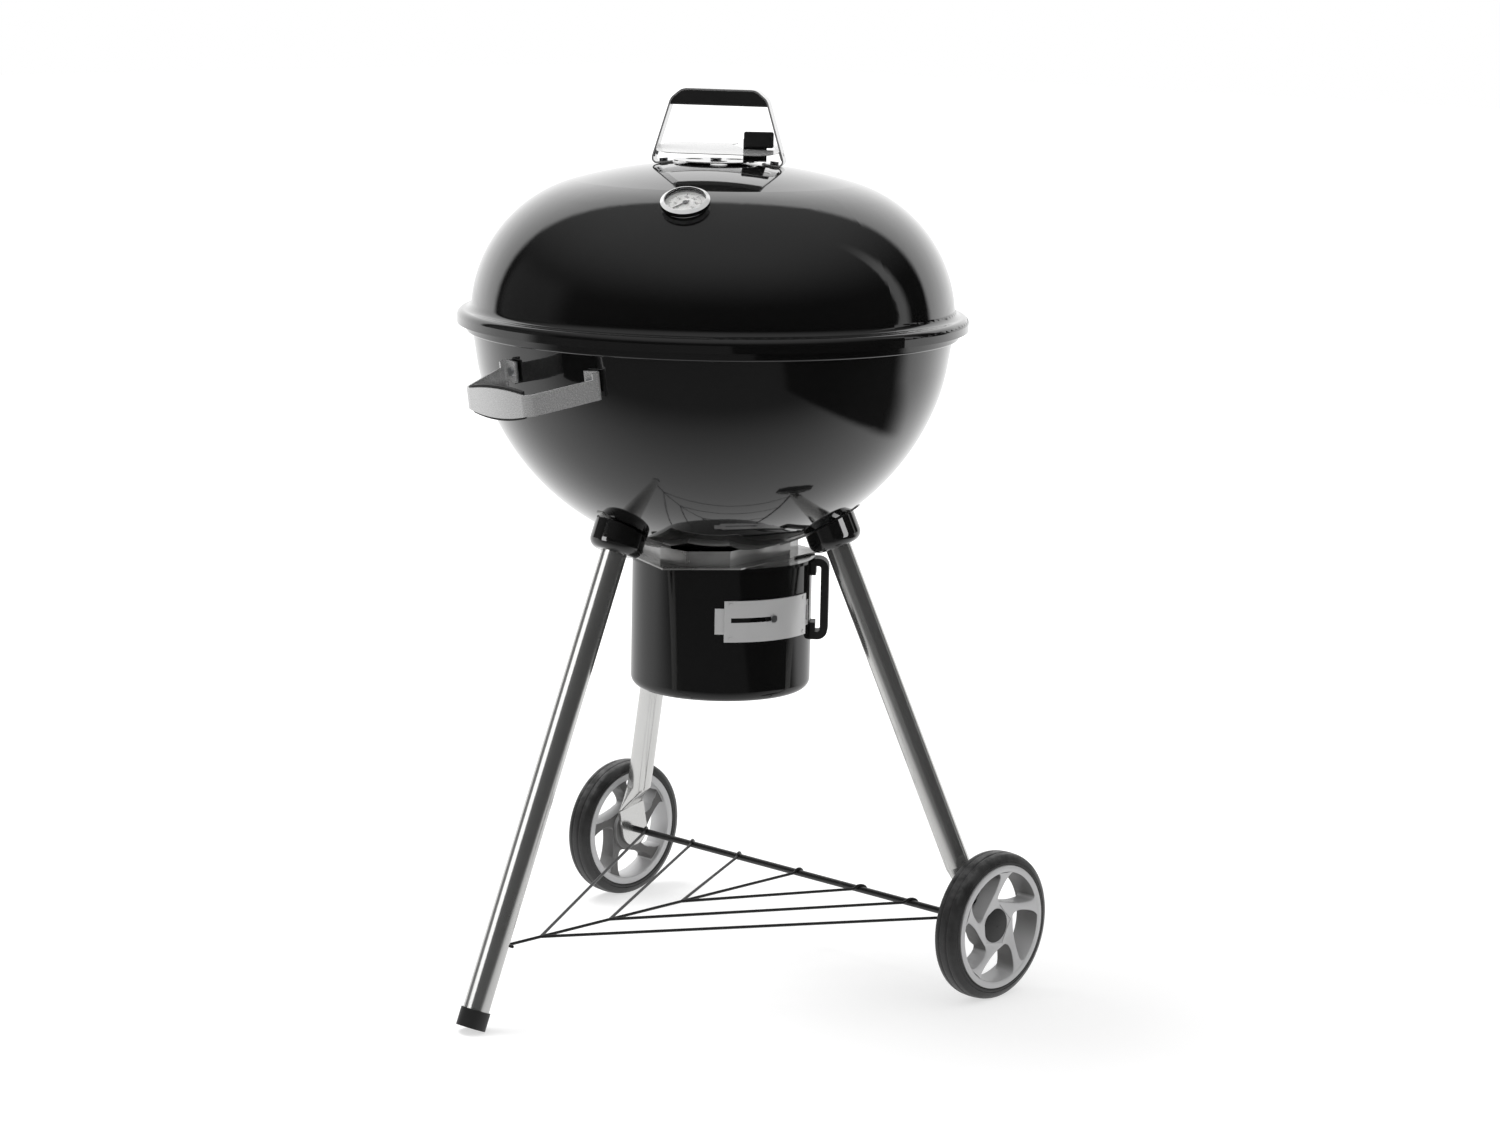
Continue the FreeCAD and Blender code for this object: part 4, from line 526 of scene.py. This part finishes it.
def make_tyre(side_name):
    """Tyre with a crowned tread, two grooves, round shoulders and a bead round the rim."""
    node = f"wheel_tyre_{side_name}"
    low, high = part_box(node)
    outer = (high.z - low.z) / 2
    half = (high.x - low.x) / 2
    depth, fall, round_off = 0.0138, 0.0012, 0.0028
    inner = outer - depth
    edge, steps = 0.0035, 24
    groove_depth, groove_width, groove_at = 0.0011, 0.0009, 0.0052
    tread = []
    for i in range(steps + 1):
        across = -half + edge + (2 * half - 2 * edge) * i / steps
        share = across / half
        groove = sum(groove_depth * math.exp(-((across - at) / groove_width) ** 2)
                     for at in (-groove_at, groove_at))
        tread.append((outer - round_off * share ** 4 - fall * share ** 2 - groove, across))
    side_wall = [(outer - 0.0062, half - 0.0012), (outer - 0.0086, half - 0.0003),
                 (outer - 0.0094, half - 0.0009), (outer - 0.0102, half - 0.0003),
                 (inner + 0.0012, half), (inner, half - 0.0010)]
    profile = [(r, -x) for r, x in reversed(side_wall)] + tread + side_wall
    place = Matrix.Translation(middle(node)) @ Matrix.Rotation(math.radians(90), 4, "Y")
    bm = lathe(profile, 160, place)
    tyre = add_mesh(f"tyre_{side_name}", bm, rubber, f"wheel_{side_name}", 50.0)
    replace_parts(tyre, node)


def skin(bm, rings):
    """Closes a row of rings, each with as many points, into a solid."""
    count = len(rings[0])
    for ring, following in zip(rings, rings[1:]):
        for j in range(count):
            k = (j + 1) % count
            bm.faces.new((ring[j], ring[k], following[k], following[j]))
    bm.faces.new(rings[0][::-1])
    bm.faces.new(rings[-1])


def rod(bm, points, radius, count=14):
    """Round wire along points, with domed ends."""
    points = [Vector(p) for p in points]
    runs = [(b - a).normalized() for a, b in zip(points, points[1:])]
    runs = [runs[0]] + [(a + b).normalized() for a, b in zip(runs, runs[1:])] + [runs[-1]]
    dome = [(radius * math.sin(math.radians(a)), radius * math.cos(math.radians(a)))
            for a in (78, 52, 26)]
    stations = [(points[0] - runs[0] * rise, runs[0], wide) for rise, wide in dome]
    stations += [(p, run, radius) for p, run in zip(points, runs)]
    stations += [(points[-1] + runs[-1] * rise, runs[-1], wide) for rise, wide in reversed(dome)]
    turns = [2 * math.pi * i / count for i in range(count)]
    across = runs[0].orthogonal().normalized()
    rings = []
    for place, run, wide in stations:
        across = (across - run * across.dot(run)).normalized()
        up = run.cross(across)
        rings.append([bm.verts.new(place + (across * math.cos(t) + up * math.sin(t)) * wide)
                      for t in turns])
    skin(bm, rings)


# The shelf's V wires: the apex from the bowl's axis, and half the V's width at the axle.
SHELF_VEES = ((-0.2625, 0.267), (-0.1536, 0.1835), (-0.0355, 0.102))


def make_shelf():
    """Nested V wires on a spine; every wire's end hooks over the axle."""
    low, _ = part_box("wire_shelf")
    axle = middle("axle")
    axle_low, axle_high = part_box("axle")
    radius, solid_radius = 0.0018, 0.0022
    front_y, front_z = low.y + solid_radius, low.z + solid_radius
    back_z = axle.z + 0.0010
    hook_reach, hook_lift, run_up = 0.0066, (axle_high.z - axle_low.z) / 2 + 0.0009, 0.0022
    cross_half = 0.009
    bm = bmesh.new()

    def wire(apex_y, end_x):
        rise = (apex_y - front_y) / (axle.y - front_y)
        start = Vector((0, apex_y, front_z + (back_z - front_z) * rise))
        crossing = Vector((end_x, axle.y, axle.z))
        run = crossing - start
        run.z = 0
        run.normalize()
        points = [start, crossing - run * (hook_reach / run.y + run_up) + UP * (back_z - axle.z)]
        for turn in range(155, -30, -20):
            angle = math.radians(turn)
            points.append(crossing + run * (hook_reach / run.y * math.cos(angle))
                          + UP * (hook_lift * math.sin(angle)))
        rod(bm, points, radius)

    wire(front_y, 0.0)
    for apex_y, end_x in SHELF_VEES:
        for way in (-1, 1):
            wire(apex_y + axis_y, way * end_x)
    rod(bm, [(-cross_half, front_y, front_z), (cross_half, front_y, front_z)], radius)
    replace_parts(add_mesh("shelf", bm, painted, "stand"), "wire_shelf")


# The wheel centre's sizes are in millimetres: radii from the wheel's axis, heights along it.
# The spoke that stands upright: its two edges from the hub to the ring, (across, up).
SPOKE_LEFT = ((-28.4, 9.0), (-27.0, 11.6), (-25.0, 15.0), (-21.5, 20.2), (-17.8, 26.2),
              (-14.3, 32.2), (-10.9, 38.6), (-8.2, 44.6), (-5.9, 50.8), (-4.2, 56.4),
              (-3.8, 60.2), (-5.4, 63.2), (-9.5, 65.4))
SPOKE_RIGHT = ((9.5, 27.6), (6.0, 28.4), (3.0, 29.4), (0.6, 31.4), (-0.5, 34.2),
               (-0.3, 37.6), (0.8, 41.6), (2.8, 46.0), (5.5, 50.8), (8.8, 55.6),
               (12.2, 59.2), (16.0, 61.8), (21.0, 63.4))
# Front of the spokes: (radius, height).
SPOKE_FRONT = ((20.0, 8.0), (26.0, 8.9), (32.0, 10.5), (43.0, 13.3), (54.0, 15.2), (62.0, 16.4),
               (80.0, 16.8))
SPOKES = 5
SPOKE_ROUND = 2.0
SPOKE_CROWN = 0.5
SPOKE_BACK = -10.0
RIM_FRONT = 17.0


def spoke_front(radius):
    """Height of a spoke's front at a radius."""
    for (r0, z0), (r1, z1) in zip(SPOKE_FRONT, SPOKE_FRONT[1:]):
        if radius <= r1:
            return z0 + (z1 - z0) * max(0.0, radius - r0) / (r1 - r0)
    return SPOKE_FRONT[-1][1]


def smooth_run(points, parts=4):
    """Points with a smooth curve of in-between points."""
    ends = [points[0], *points, points[-1]]
    out = []
    for a, b, c, d in zip(ends, ends[1:], ends[2:], ends[3:]):
        for i in range(parts):
            t = i / parts
            out.append(0.5 * (2 * b + (c - a) * t + (2 * a - 5 * b + 4 * c - d) * t * t
                              + (3 * b - a - 3 * c + d) * t ** 3))
    return out + [points[-1]]


def spoke_section(left, right):
    """Outline across a spoke: rounded front edges, a slight crown and a bevelled back."""
    across = (right - left).normalized()
    turns = [math.radians(t) for t in (0, 22, 45, 68, 90)]

    def rounded(edge, inwards, turn):
        p = edge + inwards * SPOKE_ROUND * (1 - math.cos(turn))
        return p, spoke_front(p.length) - SPOKE_ROUND * (1 - math.sin(turn))

    ridge = left + across * (right - left).length * 0.5
    section = [rounded(left, across, t) for t in turns]
    section.append((ridge, spoke_front(ridge.length) + SPOKE_CROWN))
    section += [rounded(right, -across, t) for t in reversed(turns)]
    section += [(right, SPOKE_BACK + 1.0), (right - across, SPOKE_BACK),
                (left + across, SPOKE_BACK), (left, SPOKE_BACK + 1.0)]
    return [(p.x, p.y, z) for p, z in section]


def add_into(bm, piece):
    """Moves one bmesh into another."""
    mesh = bpy.data.meshes.new("part_of_rim")
    piece.to_mesh(mesh)
    piece.free()
    bm.from_mesh(mesh)
    bpy.data.meshes.remove(mesh)


def make_rim(side_name, turn, material):
    """Wheel centre: a deep ring, a recessed hub and five curved spokes with rounded edges, turned
    about the axle by turn degrees.  The ring and hub are profiles of (radius, height)."""
    node = f"wheel_rim_{side_name}"
    low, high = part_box(node)
    centre = middle(node)
    way = 1 if centre.x > 0 else -1
    outer = (high.z - low.z) / 2 * 1000
    front, back = RIM_FRONT, RIM_FRONT - (high.x - low.x) * 1000
    ring = [(65.6, back), (outer - 0.6, back), (outer, back + 0.6), (outer, front - 1.6),
            (outer - 0.5, front - 0.5), (outer - 1.7, front), (66.6, front - 0.1),
            (65.3, front - 0.7), (64.7, front - 2.0), (64.5, back + 1.0)]
    hub = [(4.2, back), (27.4, back), (28.2, back + 1.0), (28.6, 8.4), (27.6, 9.0), (20.6, 7.8),
           (20.0, 7.2), (20.0, 1.0), (4.2, 1.0)]
    bm = lathe(ring, 180, Matrix())
    add_into(bm, lathe(hub, 120, Matrix()))
    edges = [smooth_run([Vector(p) for p in edge]) for edge in (SPOKE_LEFT, SPOKE_RIGHT)]
    for i in range(SPOKES):
        spoke = bmesh.new()
        skin(spoke, [[spoke.verts.new(p) for p in spoke_section(left, right)]
                     for left, right in zip(*edges)])
        spoke.transform(Matrix.Rotation(math.radians(360.0 / SPOKES * i), 4, "Z"))
        add_into(bm, spoke)
    # heights point outwards along the axle, and the first spoke points up
    seat = Matrix(((0, 0, way), (way, 0, 0), (0, 1, 0))).to_4x4()
    middle_x = high.x - front / 1000 if way > 0 else low.x + front / 1000
    bm.transform(Matrix.Translation((middle_x, centre.y, centre.z)) @ seat
                 @ Matrix.Rotation(math.radians(turn), 4, "Z") @ Matrix.Scale(0.001, 4))
    rim = add_mesh(f"rim_{side_name}", bm, material, f"wheel_{side_name}", 40.0)
    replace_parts(rim, node)


def make_dial_scale():
    """Printed scale: a ring of ticks with plain numbers, from the pointer's rest round its sweep."""
    centre = middle("thermometer_dial")
    normal = (middle("thermometer_glass") - centre).normalized()
    dial_face = max((v.co - centre).dot(normal) for v in nodes["thermometer_dial"].data.vertices)
    points = [v.co - centre for v in nodes["thermometer_needle"].data.vertices]
    tip = max(points, key=lambda p: (p - normal * p.dot(normal)).length)
    start = (tip - normal * tip.dot(normal)).normalized()
    lift = centre + normal * (dial_face + 0.00012)
    sweep, ticks, long_every = 270.0, 60, 10
    scale_edge, numbers_at, number_size, number_step = 0.0186, 0.0118, 0.0042, 50
    bm = bmesh.new()

    def flat(corners):
        bm.faces.new([bm.verts.new(lift + c) for c in corners])

    for i in range(ticks + 1):
        out = Matrix.Rotation(math.radians(-sweep / ticks * i), 3, normal) @ start
        across = normal.cross(out)
        near, wide = (0.0152, 0.00028) if i % long_every == 0 else (0.0172, 0.00014)
        flat([out * near - across * wide, out * scale_edge - across * wide,
              out * scale_edge + across * wide, out * near + across * wide])
    for i in range(ticks // long_every + 1):
        out = Matrix.Rotation(math.radians(-sweep / ticks * long_every * i), 3, normal) @ start
        text = bpy.data.curves.new("dial_number", "FONT")
        text.body = str(number_step * (i + 1))
        text.size = number_size
        text.align_x = "CENTER"
        text.align_y = "CENTER"
        holder = bpy.data.objects.new("dial_number", text)
        shape = bpy.data.meshes.new_from_object(holder)
        bpy.data.objects.remove(holder)
        up = -start
        upright = Matrix((up.cross(normal), up, normal)).transposed().to_4x4()
        shape.transform(Matrix.Translation(lift + out * numbers_at) @ upright)
        bm.from_mesh(shape)
        bpy.data.meshes.remove(shape)
    add_mesh("dial_scale", bm, painted, "lid")


make_bowl()
make_tyre("right")
make_tyre("left")
make_rim("right", 0.0, silver_right)
make_rim("left", -8.6, silver_left)
make_shelf()
make_dial_scale()

# ---------------------------------------------------------------- studio
CAMERA_AZIMUTH = math.radians(43.66568769)
CAMERA_DROP = math.radians(10.170109217)
CAMERA_ROLL = math.radians(1.1617572)
CAMERA_PLACE = Vector((2.85432, axis_y - 2.92037, 1.22569))
CAMERA_LENS = 85.032  # millimetres, on a sensor 36 mm wide
TO_CAMERA = Vector((math.sin(CAMERA_AZIMUTH), -math.cos(CAMERA_AZIMUTH), 0))
TO_RIGHT = Vector((math.cos(CAMERA_AZIMUTH), math.sin(CAMERA_AZIMUTH), 0))


def build_camera():
    """Camera in front of the grill and out to its +X side, above the lid and looking down a
    little."""
    lens = bpy.data.cameras.new("camera")
    lens.lens = CAMERA_LENS
    lens.sensor_width = 36.0
    lens.clip_end = 100.0
    camera = bpy.data.objects.new("camera", lens)
    bpy.context.scene.collection.objects.link(camera)
    look = -TO_CAMERA * math.cos(CAMERA_DROP) - UP * math.sin(CAMERA_DROP)
    aim = look.to_track_quat("-Z", "Y").to_matrix().to_4x4()
    roll = Matrix.Rotation(CAMERA_ROLL, 4, "Z")
    camera.matrix_world = Matrix.Translation(CAMERA_PLACE) @ aim @ roll
    bpy.context.scene.camera = camera


def build_floor():
    """Pale floor: white to the camera with the grill's soft shadow.  Reflections see it darker
    towards the front and well to the right, where the studio's floor is unlit."""
    mesh = bpy.data.meshes.new("studio_floor")
    bm = bmesh.new()
    bmesh.ops.create_grid(bm, x_segments=8, y_segments=8, size=20.0)
    bm.to_mesh(mesh)
    bm.free()
    floor = bpy.data.objects.new("studio_floor", mesh)
    bpy.context.scene.collection.objects.link(floor)
    material = bpy.data.materials.new("studio_floor")
    material.use_nodes = True
    s = Shade(material.node_tree)
    seen = s.node("ShaderNodeLightPath", out="Is Camera Ray")
    mirrored = s.node("ShaderNodeLightPath", out="Is Glossy Ray")
    at = s.place()
    ahead = s.dot(at, tuple(TO_CAMERA))
    right = s.dot(at, tuple(TO_RIGHT))
    away = s.length(at)
    unlit_side = right.ramp(1.02, 1.16) * ahead.ramp(-0.9, -0.2) * 0.97
    lit = (1.0 - ahead.ramp(-0.25, 1.25) * 0.9) * (1.0 - unlit_side)
    paint = s.node("ShaderNodeBsdfDiffuse", None, Color=grey(0.5))
    glow = s.shader_mix(away.ramp(0.9, 2.4), s.emission(0.6), s.emission(1.0))
    white = s.node("ShaderNodeAddShader", None, paint, glow)
    plain = s.node("ShaderNodeBsdfDiffuse", None, Color=grey(0.8))
    image = s.shader_mix(lit, s.emission(0.0), s.emission(0.95))
    shown = s.shader_mix(seen, s.shader_mix(mirrored, plain, image), white)
    s.node("ShaderNodeOutputMaterial", None, Surface=shown)
    mesh.materials.append(material)


def build_world():
    """White to the camera and through glass; in reflections a white backdrop behind, a strip to
    the right, a faint panel to the left, a soft glow overhead and an unlit studio in front."""
    world = bpy.data.worlds.new("studio")
    bpy.context.scene.world = world
    world.use_nodes = True
    s = Shade(world.node_tree)
    seen = s.node("ShaderNodeLightPath", out="Is Camera Ray")
    through = s.node("ShaderNodeLightPath", out="Is Transmission Ray")
    mirrored = s.node("ShaderNodeLightPath", out="Is Glossy Ray")
    toward = s.node("ShaderNodeTexCoord", out="Generated")
    ahead = s.dot(toward, tuple(TO_CAMERA))
    right = s.dot(toward, tuple(TO_RIGHT))
    high = s.dot(toward, tuple(UP))
    turn = right.math("ARCTAN2", right, ahead)  # radians from the camera, positive to the right
    backdrop = 1.0 - ahead.ramp(-0.6, -0.52)
    strip = turn.ramp(1.70, 1.74) * (1.0 - turn.ramp(1.80, 1.90)) * (1.0 - high.ramp(0.45, 0.8))
    panel = turn.ramp(-2.15, -2.0) * (1.0 - turn.ramp(-1.5, -1.2)) * (1.0 - high.ramp(0.3, 0.5))
    studio = 0.006 + high.ramp(0.3, 1.0) * 0.34 + backdrop + strip * 0.7 + panel * 0.1
    strength = mirrored * studio + (1.0 - mirrored) * 0.75
    strength = strength * (1.0 - seen) * (1.0 - through) + seen + through * (1.0 - seen)
    background = s.node("ShaderNodeBackground", None, Color=grey(1.0), Strength=strength)
    s.node("ShaderNodeOutputWorld", None, Surface=background)


def studio_place(height, to_right=0.0, to_front=0.0):
    """A place at a height over the bowl's axis, moved to the camera's right and towards it."""
    return Vector((0, axis_y, height)) + TO_RIGHT * to_right + TO_CAMERA * to_front


def build_lamp(name, place, size, power):
    """Rectangular lamp aimed at the grill's middle; it doesn't show in polish."""
    lamp = bpy.data.lights.new(name, "AREA")
    lamp.shape = "RECTANGLE"
    lamp.size, lamp.size_y = size
    lamp.energy = power
    holder = bpy.data.objects.new(name, lamp)
    bpy.context.scene.collection.objects.link(holder)
    aim = (studio_place(0.5) - place).to_track_quat("-Z", "Y").to_matrix().to_4x4()
    holder.matrix_world = Matrix.Translation(place) @ aim
    holder.visible_glossy = False
    return holder


def light_only(lamp, names):
    """The lamp picks out these pieces alone and shows in their polish."""
    picked = bpy.data.collections.new(lamp.name + "_pieces")
    for name in names:
        picked.objects.link(bpy.data.objects[name])
    lamp.light_linking.receiver_collection = picked
    lamp.visible_glossy = True


build_camera()
build_floor()
build_world()
build_lamp("overhead", studio_place(3.4, -1.4, -0.6), size=(2.0, 2.0), power=95.0)
steel_pieces = [n for n in nodes if n.startswith("leg_") and "socket" not in n]
steel_pieces += ["bowl_handle_front", "bowl_handle_rear", "lid_handle_strap", "lid_heat_shield"]
panel = build_lamp("steel_panel", studio_place(1.7, -2.6, 1.2), size=(2.0, 1.8), power=19.0)
light_only(panel, steel_pieces)
for side_name, turn in (("front", -58.0), ("right", 52.0)):
    way = Matrix.Rotation(math.radians(turn), 3, "Z") @ TO_CAMERA
    window = build_lamp(f"window_{side_name}", studio_place(0.95) + way * 3.0, size=(1.1, 1.9),
                        power=38.0)
    light_only(window, [f"leg_socket_{side_name}"])

bpy.context.scene.view_settings.view_transform = "Standard"
bpy.context.view_layer.update()
